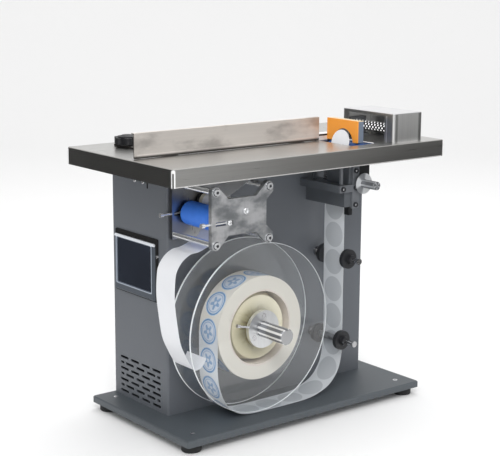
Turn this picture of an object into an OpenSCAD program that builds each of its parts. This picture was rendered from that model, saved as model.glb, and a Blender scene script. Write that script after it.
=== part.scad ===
// Table-top label dispenser: sheet-metal cabinet on a base plate, stainless table, label
// spool between clear discs, guide rollers, peel unit and backing-paper drive unit.
// X runs along the table to the right, Y to the back, Z up from the floor.

/* [Table] */
// Length of the table along its front edge
table_length = 600; // [560:1:700]
// Width of the table from front to back
table_width = 320; // [310:1:380]
// Height of the table surface above the floor
table_height = 480; // [470:1:560]
// Depth of the folded rim
rim_depth = 30; // [20:1:36]
// Thickness of the table sheet
table_sheet = 2; // [1.5:0.1:3]
// Radius of the upright corners of the table
table_corner_r = 5; // [3:0.5:12]

/* [Base] */
// Length of the base plate
base_length = 531; // [510:1:600]
// Width of the base plate
base_width = 298; // [290:1:340]
// Thickness of the base plate
base_thick = 11.5; // [10:0.5:20]
// Corner radius of the base plate
base_corner_r = 4; // [3:1:20]
// Bevel along the top edge of the base plate
base_bevel = 2; // [1:0.5:4]
// Height of the rubber feet
foot_height = 13.5; // [8:0.5:20]
// Radius of the rubber feet
foot_r = 17; // [12:0.5:22]
// Distance of the feet from the sides of the base
foot_inset = 22; // [20:1:40]
// Distance of the base screws from the sides of the base
base_screw_inset = 31; // [28:1:45]

/* [Cabinet] */
// Length of the cabinet
cabinet_length = 448; // [420:1:470]
// Depth of the cabinet with its back cover
cabinet_depth = 167; // [150:1:180]
// Distance from the table centre to the cabinet centre, to the right
cabinet_right = 5; // [0:1:12]
// Distance of the front panel in front of the table centre
cabinet_front = 24; // [16:1:30]
// Thickness of the cabinet sheet
cabinet_sheet = 2; // [1:0.1:3]
// Radius of the front upright corners
cabinet_corner_r = 4; // [3:0.5:12]
// Depth of the folded edge of the back cover
cover_depth = 7; // [5:0.5:12]

/* [Vents] */
// Length of one vent slot
vent_slot = 26; // [18:0.5:28]
// Width of one vent slot
vent_gap = 4.6; // [3:0.1:6]
// Rows of vent slots
vent_rows = 7; // [3:1:9]
// Slots in a full row
vent_columns = 4; // [2:1:4]
// Distance between the rows
vent_row_pitch = 10.5; // [9:0.5:12]
// Distance between the slots in a row
vent_column_pitch = 34; // [31:0.5:36]

/* [Touch panel] */
// Width of the touch panel frame
panel_width = 126; // [110:1:130]
// Height of the touch panel frame
panel_height = 102; // [90:1:120]
// Distance of the panel frame's back edge from the back of the cabinet
panel_inset = 9; // [8:0.5:20]
// Height of the panel's lower edge above the floor
panel_low = 221; // [190:1:240]
// How far the frame stands out from the cabinet
panel_proud = 5; // [3:0.5:8]
// Width of the glass
glass_width = 106; // [90:1:108]
// Height of the glass
glass_height = 80; // [60:1:86]

/* [Spool] */
// Distance of the spool axis left of the table centre
spool_left = 82; // [70:1:90]
// Height of the spool axis above the floor
spool_height = 178; // [177:1:186]
// Radius of the clear discs
disc_r = 149; // [110:1:149]
// Thickness of the clear discs
disc_thick = 4; // [2:0.5:5]
// Width of the label tape
tape_width = 53; // [40:1:56]
// Radius of the full label roll
roll_r = 91; // [75:1:100]
// Inner radius of the roll's paper core
core_r = 64.5; // [60:0.5:68]
// Wall of the paper core
core_wall = 3; // [2:0.5:4]
// Radius of the spool shaft
shaft_r = 14; // [10:0.5:16]
// Radius of the front hub
hub_r = 33; // [28:1:40]
// Thickness of the front hub
hub_thick = 7.5; // [6:0.5:12]
// Length of the spool shaft in front of the hub
shaft_past = 62; // [40:1:70]

/* [Guide rollers] */
// Distance of the upright tape run right of the table centre
tape_right = 110; // [106:0.5:112]
// Height of the lower guide roller
guide_low = 124; // [110:1:140]
// Height of the upper guide roller
guide_high = 273; // [240:1:300]
// Radius of the guide roller sleeves
sleeve_r = 6; // [5.5:0.1:7]
// Radius of the guide shafts
guide_shaft_r = 4; // [3:0.1:4.2]
// Radius of the guide collars
collar_r = 17.5; // [12:0.5:20]
// Thickness of the guide collars
collar_thick = 7.5; // [5:0.5:10]

/* [Drive unit] */
// Distance of the drive roller left of the table centre
drive_left = 150; // [146:1:152]
// Distance of the drive roller below the table surface
drive_drop = 82.5; // [80:0.5:90]
// Radius of the blue pinch roller
pinch_r = 20.5; // [18:0.5:21]
// Distance of the pinch roller left of the drive roller
pinch_left = 32; // [31.5:0.5:35]
// Distance of the pinch roller below the drive roller
pinch_drop = 16.5; // [14:0.5:18]
// Thickness of the drive unit's end plates
plate_thick = 8; // [6:0.5:10]
// Radius of the tie rods
rod_r = 5; // [4:0.25:6]
// Clear length between the end plates
plate_span = 108; // [104:1:112]

/* [Peel unit] */
// Radius of the table roller
table_roller_r = 20; // [16:0.5:20]
// Distance of the table roller right of the tape run
table_roller_right = 28; // [27:0.5:32]
// Thickness of the peel unit's front plate
peel_plate_thick = 4; // [3:0.5:6]
// Width of the upright strip of the front plate
strip_width = 15.5; // [13:0.5:18]
// Radius of the hand knob
knob_r = 18.5; // [14:0.5:20]

/* [Fence] */
// Length of the fence
fence_length = 396; // [360:1:398]
// Height of the fence
fence_height = 42; // [30:1:60]
// Thickness of the fence sheet
fence_sheet = 2; // [1.5:0.1:3]
// Distance of the fence in front of the table centre
fence_front = 34.5; // [30:0.5:40]
// Travel of the fence towards the front
fence_travel = 15; // [8:1:20]
// Travel of the fence towards the back
fence_travel_back = 35; // [10:1:36]
// Radius of the lobed clamp knobs
lobe_knob_r = 25; // [20:1:30]

/* [Press cover] */
// Length of the cover along the table
cover_length = 72; // [66:1:80]
// Width of the cover across the table
cover_width = 134; // [120:1:140]
// Height of the cover
cover_height = 52; // [46:1:70]
// Radius of the knurled press roller
press_r = 9; // [6:0.5:11]

/* [Guide block] */
// Width of the guide block across the table
block_width = 80; // [70:1:84]
// Height of the guide block above the table
block_height = 40; // [34:1:50]
// Thickness of the block behind its orange face
block_thick = 12; // [8:0.5:14]
// Thickness of the orange face plate
face_thick = 3; // [2:0.5:5]
// Diameter of a label
label_d = 45; // [34:0.5:46]

/* [Hidden] */
$fn = 64;
cut = 1;             // overrun of every cut
fit = 0.05;          // running clearance of a shaft in its bore
air = 0.3;           // gap where two pieces nearly touch
round_fn = 32;
disc_fn = 128;

x_cab_l = cabinet_right - cabinet_length / 2;
x_cab_r = cabinet_right + cabinet_length / 2;
y_cab = -cabinet_front;
y_back = y_cab + cabinet_depth;
z_base = foot_height + base_thick;
z_top = table_height;
z_under = table_height - table_sheet;

x_spool = -spool_left;
z_spool = spool_height;
bearing_reach = 20;
bearing_flange_r = 42;
bearing_flange = 6;
bearing_barrel_r = 26;
disc_air = 2.5;
side_gap = 0.5;
y_rdisc1 = y_cab - bearing_reach - disc_air;
y_rdisc0 = y_rdisc1 - disc_thick;
y_web1 = y_rdisc0 - side_gap;
y_web0 = y_web1 - tape_width;
y_fdisc1 = y_web0 - side_gap;
y_fdisc0 = y_fdisc1 - disc_thick;
y_hub = y_fdisc0 - hub_thick;
y_tip = y_hub - shaft_past;
shaft_inner = 34;    // length of the spool shaft inside the cabinet
stop_r = 22;         // stop collar on the spool shaft
stop_thick = 10;

y_front = min(y_tip, -table_width / 2);
y_shift = -(y_front + table_width / 2) / 2;

web_t = 0.3;
x_drive = -drive_left;
z_drive = table_height - drive_drop;
x_pinch = x_drive - pinch_left;
z_pinch = z_drive - pinch_drop;
nip_gap = web_t + 2 * air;
drive_r = norm([pinch_left, pinch_drop]) - pinch_r - nip_gap;
plate_gap = 2;
y_rplate1 = y_cab - plate_gap;
y_rplate0 = y_rplate1 - plate_thick;
y_fplate1 = y_rplate0 - plate_span;
y_fplate0 = y_fplate1 - plate_thick;

module placed() translate([0, y_shift, 0]) children();
module box(x0, x1, y0, y1, z0, z1) translate([x0, y0, z0]) cube([x1 - x0, y1 - y0, z1 - z0]);
module ycyl(r, y0, y1) translate([0, y0, 0]) rotate([-90, 0, 0]) cylinder(r = r, h = y1 - y0);
module xcyl(r, x0, x1) translate([x0, 0, 0]) rotate([0, 90, 0]) cylinder(r = r, h = x1 - x0);
module xz(y0, y1) translate([0, y1, 0]) rotate([90, 0, 0]) linear_extrude(y1 - y0) children();
module yz(x0, x1) translate([x0, 0, 0]) rotate([90, 0, 90]) linear_extrude(x1 - x0) children();
module at(x, z) translate([x, 0, z]) children();
module tube(ro, ri, y0, y1) difference() {
  ycyl(ro, y0, y1);
  ycyl(ri, y0 - cut, y1 + cut);
}
module rrect(l, w, r) {
  square([l - 2 * r, w], center = true);
  square([l, w - 2 * r], center = true);
  for (i = [-1, 1], j = [-1, 1]) translate([i * (l / 2 - r), j * (w / 2 - r)]) circle(r);
}
module slot2(l, w) {
  square([l - w, w], center = true);
  for (i = [-1, 1]) translate([i * (l - w) / 2, 0]) circle(d = w);
}
// Socket head screw along Y with its head at y, pointing to the back
module cap_screw(r, head_r, head, length, y) {
  difference() {
    ycyl(head_r, y, y + head);
    translate([0, y - cut, 0]) rotate([-90, 0, 0]) cylinder(r = r * hex_share, h = cut + head / 2, $fn = 6);
  }
  ycyl(r, y + head, y + head + length);
}
hex_share = 0.95;

function curve(a, b, c, d, t) = ((2 * b) + (c - a) * t + (2 * a - 5 * b + 4 * c - d) * t * t
  + (3 * b - a - 3 * c + d) * t * t * t) / 2;
function smooth(p, n) = [for (i = [0 : len(p) - 2], k = [0 : n - 1])
  curve(p[max(i - 1, 0)], p[i], p[i + 1], p[min(i + 2, len(p) - 1)], k / n), p[len(p) - 1]];
function side(p, i) = let (a = p[max(i - 1, 0)], b = p[min(i + 1, len(p) - 1)], d = (b - a) / norm(b - a))
  [-d[1], d[0]];
function ribbon(p, t) = concat([for (i = [0 : len(p) - 1]) p[i] + side(p, i) * t / 2],
  [for (i = [len(p) - 1 : -1 : 0]) p[i] - side(p, i) * t / 2]);

// Base plate, feet and screws
base_screw_r = 2.5;
base_head_r = 4.5;
base_head = 2.5;
foot_neck_r = 11;
foot_neck = 3;
x_foot = base_length / 2 - foot_inset;
y_foot = base_width / 2 - foot_inset;
x_bscrew = base_length / 2 - base_screw_inset;
y_bscrew = base_width / 2 - base_screw_inset;
stud_r = 3;
module corners(x, y) for (i = [-1, 1], j = [-1, 1]) translate([i * x, j * y, 0]) children();
module base_plate() color("dimgray") placed() difference() {
  hull() corners(base_length / 2 - base_corner_r, base_width / 2 - base_corner_r)
    translate([0, 0, foot_height]) {
      cylinder(r = base_corner_r, h = base_thick - base_bevel, $fn = round_fn);
      cylinder(r = base_corner_r - base_bevel, h = base_thick, $fn = round_fn);
    }
  corners(x_bscrew, y_bscrew) {
    translate([0, 0, foot_height - cut]) cylinder(r = base_screw_r, h = base_thick + 2 * cut);
    translate([0, 0, z_base - base_head]) cylinder(r1 = base_screw_r, r2 = base_head_r, h = base_head);
    translate([0, 0, z_base]) cylinder(r = base_head_r, h = cut);
  }
  corners(x_foot, y_foot) translate([0, 0, foot_height - cut])
    cylinder(r = stud_r, h = base_thick / 2 + cut);
  cabinet_bolts() translate([0, 0, foot_height - cut]) {
    cylinder(r = bolt_r, h = base_thick + 2 * cut);
    cylinder(r = bolt_head_r, h = cut + bolt_head);
  }
}
module rubber_feet() color("black") placed() corners(x_foot, y_foot) {
  cylinder(r1 = foot_r - foot_bevel, r2 = foot_r, h = foot_bevel);
  translate([0, 0, foot_bevel]) cylinder(r = foot_r, h = foot_height - foot_neck - foot_bevel);
  translate([0, 0, foot_height - foot_neck]) cylinder(r = foot_neck_r, h = foot_neck);
  translate([0, 0, foot_height]) cylinder(r = stud_r, h = base_thick / 2 - air);
}
foot_bevel = 1.5;
bolt_r = 3;
bolt_head_r = 5.5;
bolt_head = 4;
bolt_inset = 24;
module cabinet_bolts() for (x = [x_cab_l + bolt_inset, x_cab_r - bolt_inset],
    y = [y_cab + bolt_inset, y_back - bolt_inset])
  translate([x, y, 0]) children();
module cabinet_screws() color("silver") placed() {
  cover_screw_set();
  corners(x_bscrew, y_bscrew) difference() {
    union() {
      translate([0, 0, z_base - base_head]) cylinder(r1 = base_screw_r, r2 = base_head_r, h = base_head);
      translate([0, 0, foot_height]) cylinder(r = base_screw_r, h = base_thick - base_head);
    }
    translate([0, 0, z_base - base_head / 2])
      cylinder(r = base_screw_r * hex_share, h = base_head, $fn = 6);
  }
  cabinet_bolts() translate([0, 0, foot_height]) {
    cylinder(r = bolt_head_r, h = bolt_head);
    cylinder(r = bolt_r, h = base_thick + cabinet_sheet + bolt_head);
  }
}

// Cabinet shell
lip = 14;
y_seam = y_back - cover_depth;
shell_h = z_under - z_base;
vent_back_share = 0.13;
vent_low = 7;
vent_y = y_cab + vent_back_share * cabinet_depth;
vent_z = z_base + vent_low;
panel_y1 = y_back - panel_inset;
panel_y0 = panel_y1 - panel_width;
panel_lip = 4;
panel_body = 22;
drive_hole_r = 9;
spool_hole_r = 18;
module cab_plan(grow) {
  translate([x_cab_l - grow, y_cab - grow + cabinet_corner_r])
    square([cabinet_length + 2 * grow, y_seam - y_cab - cabinet_corner_r + grow]);
  translate([x_cab_l + cabinet_corner_r, y_cab - grow])
    square([cabinet_length - 2 * cabinet_corner_r, 2 * cabinet_corner_r]);
  for (x = [x_cab_l + cabinet_corner_r, x_cab_r - cabinet_corner_r])
    translate([x, y_cab + cabinet_corner_r]) circle(cabinet_corner_r + grow);
}
vent_span = (vent_columns - 1) * vent_column_pitch + vent_slot / 2;
module vent_cuts() for (r = [0 : vent_rows - 1])
  let (odd = r % 2, z = vent_z + vent_gap / 2 + r * vent_row_pitch) {
    for (c = [0 : vent_columns - odd - 1])
      translate([vent_y + vent_slot / 2 + (c + odd / 2) * vent_column_pitch, z]) slot2(vent_slot, vent_gap);
    if (odd == 1) for (e = [0, 1]) translate([vent_y + vent_slot / 4 + e * vent_span, z])
      slot2(vent_slot / 2 - vent_gap / 2, vent_gap);
  }
module cabinet_shell() color("slategray") placed() difference() {
  translate([0, 0, z_base]) linear_extrude(shell_h) cab_plan(0);
  translate([0, 0, z_base + cabinet_sheet]) linear_extrude(shell_h - 2 * cabinet_sheet) intersection() {
    cab_plan(-cabinet_sheet);
    translate([x_cab_l, y_cab]) square([cabinet_length, y_seam - cabinet_sheet - y_cab]);
  }
  box(x_cab_l + lip, x_cab_r - lip, y_seam - lip, y_seam + cut, z_base + lip, z_under - lip);
  yz(x_cab_l - cut, x_cab_l + cabinet_sheet + cut) vent_cuts();
  box(x_cab_l - cut, x_cab_l + cabinet_sheet + cut, panel_y0 + panel_lip, panel_y1 - panel_lip,
    panel_low + panel_lip, panel_low + panel_height - panel_lip);
  at(x_spool, z_spool) ycyl(spool_hole_r, y_cab - cut, y_cab + cabinet_sheet + cut);
  at(x_drive, z_drive) ycyl(drive_hole_r, y_cab - cut, y_cab + cabinet_sheet + cut);
  cover_screw_places() ycyl(cover_screw_r + fit, y_seam - cabinet_sheet - cut, y_seam + cut);
  cabinet_bolts() translate([0, 0, z_base - cut]) cylinder(r = bolt_r + fit, h = cabinet_sheet + 2 * cut);
}
cover_screw_r = 2;
cover_screw_inset = 7.5;
module cover_screw_places() for (x = [x_cab_l + cover_screw_inset, x_cab_r - cover_screw_inset],
    z = [z_base + lip, (z_base + z_under) / 2, z_under - lip])
  translate([x, 0, z]) children();
inlet_right = 95;    // power inlet, right of the cabinet centre
inlet_up = 52;       // height of the inlet centre above the base
inlet_w = 28;
inlet_h = 48;
inlet_flange = 4;
module back_cover() color("slategray") placed() difference() {
  box(x_cab_l, x_cab_r, y_seam, y_back, z_base + air, z_under - air);
  box(x_cab_l + cabinet_sheet, x_cab_r - cabinet_sheet, y_seam - cut, y_back - cabinet_sheet,
    z_base + air + cabinet_sheet, z_under - air - cabinet_sheet);
  cover_screw_places() ycyl(cover_screw_r + fit, y_back - cabinet_sheet - cut, y_back + cut);
  translate([cabinet_right + inlet_right, 0, z_base + inlet_up]) {
    box(-inlet_w / 2, inlet_w / 2, y_back - cabinet_sheet - cut, y_back + cut, -inlet_h / 2, inlet_h / 2);
  }
}
cover_head_r = 4;
cover_head = 2;
module cover_screw_set() cover_screw_places() difference() {
  union() {
    ycyl(cover_screw_r, y_seam - cabinet_sheet - cover_head, y_back);
    ycyl(cover_head_r, y_back, y_back + cover_head);
    tube(cover_head_r, cover_screw_r - fit, y_seam, y_back - cabinet_sheet);
  }
  translate([0, y_back + cover_head / 2, 0]) rotate([-90, 0, 0])
    cylinder(r = cover_screw_r * hex_share, h = cover_head, $fn = 6);
}
socket_w = 22;
socket_h = 16;
socket_depth = 16;
rocker_w = 13;
rocker_h = 18;
inlet_body = 26;
pin_r = 1;
socket_drop = 11;    // socket centre below the inlet centre
rocker_rise = 12;    // rocker axis above the inlet centre
z_rocker = z_base + inlet_up + rocker_rise;
x_inlet = cabinet_right + inlet_right;
rocker_proud = 1;
y_rocker = y_back + rocker_proud;
module power_inlet() color("black") placed() translate([x_inlet, 0, z_base + inlet_up]) difference() {
  union() {
    box(-inlet_w / 2 + air, inlet_w / 2 - air, y_back - inlet_body, y_back,
      -inlet_h / 2 + air, inlet_h / 2 - air);
    xz(y_back, y_back + inlet_flange / 2)
      rrect(inlet_w + 2 * inlet_flange, inlet_h + 2 * inlet_flange, inlet_flange);
  }
  translate([0, 0, -socket_drop]) difference() {
    xz(y_back - socket_depth, y_back + inlet_flange) rrect(socket_w, socket_h, inlet_flange / 2);
    for (i = [-1, 0, 1]) at(i * socket_w / 4, 0)
      ycyl(pin_r, y_back - socket_depth - cut, y_back - inlet_flange);
  }
  box(-rocker_w / 2 - air, rocker_w / 2 + air, y_back - socket_depth, y_back + inlet_flange,
    rocker_rise - rocker_h / 2 - air, rocker_rise + rocker_h / 2 + air);
}
rocker_r = 8.6;
module power_rocker() color("firebrick") placed() translate([x_inlet, y_rocker, z_rocker]) intersection() {
  xcyl(rocker_r, -rocker_w / 2, rocker_w / 2);
  union() {
    box(-rocker_w / 2, rocker_w / 2, -rocker_r, rocker_proud, 0, rocker_r);
    rotate([2 * rocker_tilt, 0, 0])
      box(-rocker_w / 2, rocker_w / 2, -rocker_r, rocker_proud, -rocker_r, 0);
  }
}
rocker_tilt = 9;

// Touch panel on the left side
module panel_frame() color("darkgray") placed() difference() {
  union() {
    yz(x_cab_l - panel_proud, x_cab_l)
      translate([(panel_y0 + panel_y1) / 2, panel_low + panel_height / 2])
        rrect(panel_width, panel_height, panel_lip);
    box(x_cab_l, x_cab_l + panel_body, panel_y0 + panel_lip + air, panel_y1 - panel_lip - air,
      panel_low + panel_lip + air, panel_low + panel_height - panel_lip - air);
  }
  box(x_cab_l - panel_proud - cut, x_cab_l - glass_seat, glass_y0 - air, glass_y0 + glass_width + air,
    glass_z0 - air, glass_z0 + glass_height + air);
}
glass_seat = 2;
glass_thick = 2;
glass_y0 = (panel_y0 + panel_y1 - glass_width) / 2;
glass_z0 = panel_low + panel_height - glass_height - (panel_width - glass_width) / 2 + panel_lip;
module panel_glass() color("black") placed() box(x_cab_l - glass_seat - glass_thick, x_cab_l - glass_seat,
  glass_y0, glass_y0 + glass_width, glass_z0, glass_z0 + glass_height);

// Electronics inside the cabinet
supply_l = 160;
supply_w = 98;
supply_h = 42;
supply_right = 30;
y_supply = (y_cab + cabinet_sheet + y_back - inlet_body - supply_w) / 2;
grille_rows = 5;
grille_r = 4;
grille_x = supply_l / (grille_rows + 1);
grille_y = supply_w / (grille_rows + 1);
grille_deep = 1;
module power_supply() color("silver") placed()
  translate([cabinet_right + supply_right, y_supply, z_base + cabinet_sheet]) difference() {
    cube([supply_l, supply_w, supply_h]);
    for (i = [1 : grille_rows], j = [1 : grille_rows])
      translate([i * grille_x, j * grille_y, supply_h - grille_deep])
        cylinder(r = grille_r, h = grille_deep + cut);
  }
board_l = 140;
board_h = 100;
board_t = 1.6;
standoff = 8;
standoff_r = 3.5;
board_x = cabinet_right - board_l / 8;
board_z = z_spool + supply_h;
chip = [26, 12, 26];
chip_pitch = 40;
header_inset = 16;
module control_board() color("seagreen") placed() translate([board_x, y_cab + cabinet_sheet, board_z]) {
  translate([0, standoff, 0]) cube([board_l, board_t, board_h]);
  for (x = [standoff, board_l - standoff], z = [standoff, board_h - standoff])
    translate([x, 0, z]) ycyl(standoff_r, 0, standoff);
  for (i = [0 : 2]) translate([standoff + chip[0] / 2 + i * chip_pitch, standoff + board_t,
      board_h / 2 - chip[2] / 2 - (i % 2) * chip[2] / 2]) cube(chip);
  translate([header_inset, standoff + board_t, board_h - header_inset])
    cube([board_l - 2 * header_inset, chip[1], standoff]);
}

// Stepping motor with belt to the drive roller
motor_w = 57;
motor_l = 56;
motor_drop = 84;     // motor axis below the drive roller
motor_shaft_r = 4;
pulley_r = 16;
pulley_w = 10;
pulley_flange = 1.5;
belt_t = 2;
post_r = 4;
mount_t = 4;
pulley_in = 12;      // pulleys behind the front panel
pulley_gap = 2;
y_pulley = y_cab + cabinet_sheet + pulley_in;
y_motor = y_pulley + pulley_w + 2 * pulley_flange + pulley_gap + mount_t;
z_motor = z_drive - motor_drop;
x_post = motor_w / 2 + post_r;
pilot_r = 19;
module step_motor() color("gray") placed() at(x_drive, z_motor) {
  motor_mount();
  xz(y_motor, y_motor + motor_l) rrect(motor_w, motor_w, motor_corner);
  ycyl(pilot_r - fit, y_motor - mount_t / 2, y_motor);
}
motor_corner = 6;
module motor_mount() {
  difference() {
    xz(y_motor - mount_t, y_motor) square([2 * (x_post + post_r), motor_w], center = true);
    ycyl(pilot_r, y_motor - mount_t - cut, y_motor + cut);
  }
  for (i = [-1, 1], j = [-1, 1]) at(i * x_post, j * (motor_w / 2 - post_r))
    ycyl(post_r, y_cab + cabinet_sheet, y_motor - mount_t);
}
module pulley(bore) difference() {
  union() {
    ycyl(pulley_r, y_pulley, y_pulley + pulley_w);
    for (y = [y_pulley - pulley_flange, y_pulley + pulley_w])
      ycyl(pulley_r + belt_t + pulley_flange, y, y + pulley_flange);
  }
  ycyl(bore, y_pulley - pulley_flange - cut, y_pulley + pulley_w + pulley_flange + cut);
}
module motor_pulley() color("silver") placed() at(x_drive, z_motor) {
  pulley(motor_shaft_r);
  ycyl(motor_shaft_r, y_pulley - pulley_flange, y_motor - mount_t / 2 - air);
}
module racetrack(r) {
  for (z = [0, -motor_drop]) translate([0, z]) circle(r);
  translate([-r, -motor_drop]) square([2 * r, motor_drop]);
}
module timing_belt() color("black") placed() at(x_drive, z_drive)
  xz(y_pulley + air, y_pulley + pulley_w - air) difference() {
    racetrack(pulley_r + belt_t);
    racetrack(pulley_r + air);
  }

// Table with its openings
x_tape = tape_right;
x_troll = x_tape + table_roller_right;
z_troll = z_top - table_roller_r + side_gap;
slot_air = 2;
troll_in = 16;
y_troll1 = y_cab - troll_in;
troll_length = 84;
y_troll0 = y_troll1 - troll_length;
slot_left = 5;
x_slot0 = x_tape - slot_left;
x_slot1 = x_troll + table_roller_r + slot_air;
knob_stud_r = 3;
knob_inset = 86;
knob_right_share = 0.1;
x_knobs = [-table_length / 2 + knob_inset, table_length * knob_right_share];
y_knob = 100;
module table_top() color("gainsboro") placed() difference() {
  hull() for (s = [[0, table_bevel], [table_bevel, 0]])
    corners(table_length / 2 - table_corner_r, table_width / 2 - table_corner_r)
      translate([0, 0, z_top - rim_depth])
        cylinder(r = table_corner_r - s[0], h = rim_depth - s[1], $fn = round_fn);
  translate([0, 0, z_top - rim_depth - cut]) linear_extrude(rim_depth - table_sheet + cut)
    rrect(table_length - 2 * table_sheet, table_width - 2 * table_sheet, table_corner_r - table_sheet);
  box(x_slot0, x_slot1, y_troll0 - slot_air, y_troll1 + slot_air, z_under - cut, z_top + cut);
  for (x = x_knobs) translate([x, y_knob, z_under - cut])
    cylinder(r = knob_stud_r + fit, h = table_sheet + 2 * cut);
}
table_bevel = 1;

// Fence with two slotted arms and lobed clamp knobs
fence_end = 1;
fence_x0 = x_slot0 + fence_end - fence_length;
fence_gap = 0.5;
arm_w = 26;
arm_t = 3;
stud_room = 2;
arm_slot = 2 * knob_stud_r + stud_room;
arm_past = 5;        // sheet left behind the end of a slot
arm_travel = fence_travel + fence_travel_back;
y_arm1 = y_knob + fence_travel + arm_slot / 2 + arm_past;
z_arm = z_top + air;
arm_tab = 30;
y_fence = -fence_front;
module fence_plate() color("gainsboro") placed() difference() {
  union() {
    box(fence_x0, fence_x0 + fence_length, y_fence - fence_sheet, y_fence, z_fence0, z_fence1);
    box(fence_x0, fence_x0 + fence_length, y_fence - fence_sheet, y_fence + fence_fold,
      z_fence1 - fence_sheet, z_fence1);
  }
  for (x = [fence_x0, fence_x0 + fence_length]) translate([x, 0, z_fence0]) rotate([0, 45, 0])
    box(-fence_corner / 2, fence_corner / 2, y_fence - fence_sheet - cut, y_fence + cut,
      -fence_corner / 2, fence_corner / 2);
}
z_fence0 = z_top + fence_gap;
z_fence1 = z_fence0 + fence_height;
fence_fold = 6;
fence_corner = 2;
module fence_arms() color("lightgray") placed() for (x = x_knobs) {
  difference() {
    box(x - arm_w / 2, x + arm_w / 2, y_fence, y_arm1, z_arm, z_arm + arm_t);
    translate([x, y_knob + fence_travel - arm_travel / 2, z_arm - cut]) linear_extrude(arm_t + 2 * cut)
      rotate(90) slot2(arm_travel + arm_slot, arm_slot);
  }
  box(x - arm_w / 2, x + arm_w / 2, y_fence, y_fence + arm_t, z_arm, z_arm + arm_tab);
}
knob_h = 15;
lobes = 6;
lobe_r = 7.5;
z_knob = z_arm + arm_t + air;
module lobed_knob(x) translate([x, y_knob, 0]) {
  translate([0, 0, z_knob]) cylinder(r = lobe_knob_r - lobe_r, h = knob_h);
  translate([0, 0, z_knob]) cylinder(r = lobe_knob_r - lobe_r + knob_collar, h = knob_collar);
  for (a = [0 : lobes - 1]) rotate(a * 360 / lobes)
    translate([lobe_knob_r - lobe_r, 0, z_knob + knob_collar])
      cylinder(r = lobe_r, h = knob_h - 2 * knob_collar);
  translate([0, 0, z_knob + knob_h - knob_collar])
    cylinder(r1 = lobe_knob_r - lobe_r, r2 = lobe_knob_r - 2 * lobe_r, h = 2 * knob_collar);
  translate([0, 0, z_under]) cylinder(r = knob_stud_r, h = knob_h + z_knob - z_under);
}
knob_collar = 2;
module fence_knob_left() color("darkslategray") placed() lobed_knob(x_knobs[0]);
module fence_knob_right() color("darkslategray") placed() lobed_knob(x_knobs[1]);

// Press cover with its roller
cover_gap = 56;      // clear length of table at the right of the guide block
cover_sheet = 2;
cover_corner_r = 5;
cover_opening = 95;
cover_exit = 66;     // the opening in the right side starts further forward
cover_back = 11;
cover_column = 16;
cover_band = 5;
face_right = 18;
x_face = x_tape + face_right;
x_cover0 = x_face + cover_gap;
x_cover1 = x_cover0 + cover_length;
y_cover1 = y_cab + cover_back;
y_cover0 = y_cover1 - cover_width;
y_opening1 = y_cover1 - cover_column;
press_in = 22;
press_drop = 19;
x_press = x_cover0 + press_in;
z_press = z_top + cover_height - cover_sheet - press_r - press_drop;
x_cover = (x_cover0 + x_cover1) / 2;
y_cover = (y_cover0 + y_cover1) / 2;
module press_cover() color("gainsboro") placed() difference() {
  translate([x_cover, y_cover, z_top]) linear_extrude(cover_height)
    rrect(cover_length, cover_width, cover_corner_r);
  translate([x_cover, y_cover, z_top - cut]) linear_extrude(cover_height - cover_sheet + cut)
    rrect(cover_length - 2 * cover_sheet, cover_width - 2 * cover_sheet, cover_corner_r - cover_sheet);
  box(x_cover0 - cut, x_cover, y_opening1 - cover_opening, y_opening1,
    z_top - cut, z_top + cover_height - cover_band);
  box(x_cover, x_cover1 + cut, y_opening1 - cover_opening, y_opening1 - cover_opening + cover_exit,
    z_top - cut, z_top + cover_height - cover_band);
}
bearing_t = 4;
bear_gap = 3;
roller_end = 2;      // roller ends inside, axle ends outside of the bearings
y_bear1 = y_cover1 - cover_sheet - bear_gap;
y_bear0 = y_cover0 + cover_sheet + bear_gap;
bear_w = 40;
bear_foot = 12;
press_axle_r = 4;
x_bear = x_press + press_r;
module press_frame() color("lightgray") placed() difference() {
  union() {
    for (y = [y_bear0, y_bear1 - bearing_t])
      box(x_bear - bear_w / 2, x_bear + bear_w / 2, y, y + bearing_t, z_top, z_press + press_r + bearing_t);
    for (y = [y_bear0, y_bear1 - bear_foot])
      box(x_bear - bear_w / 2, x_bear + bear_w / 2, y, y + bear_foot, z_top, z_top + bearing_t);
  }
  at(x_press, z_press) ycyl(press_axle_r + fit, y_bear0 - cut, y_bear1 + cut);
}
module press_roller() color("silver") placed() at(x_press, z_press) {
  ycyl(press_r, y_bear0 + bearing_t + roller_end, y_bear1 - bearing_t - roller_end);
  ycyl(press_axle_r, y_bear0 - roller_end, y_bear1 + roller_end);
}

// Guide block with orange face and arch
y_arch = (y_web0 + y_web1) / 2;
block_back = 4;
arch_room = 2;
block_up = 1.5;
y_block1 = y_arch + block_width / 2 + block_back;
y_block0 = y_block1 - block_width;
arch_r = label_d / 2 + arch_room;
z_block = z_top + block_up;
x_block1 = x_face + face_thick + block_thick;
foot_l = 20;
foot_up = 11;
module arch() xcut() translate([y_arch, z_top]) {
  circle(arch_r);
  translate([-arch_r, -arch_r]) square([2 * arch_r, arch_r]);
}
module xcut() yz(x_face - cut, x_face + face_thick + block_thick + cut) children();
module guide_block() color("slategray") placed() {
  difference() {
    box(x_face + face_thick, x_block1, y_block0, y_block1, z_block, z_top + block_height);
    arch();
  }
  box(x_face - foot_l, x_block1, y_block1, y_block1 + foot_l, z_top, z_top + foot_up);
}
module guide_face() color("orange") placed() difference() {
  box(x_face, x_face + face_thick, y_block0, y_block1, z_block, z_top + block_height);
  arch();
}

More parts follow.
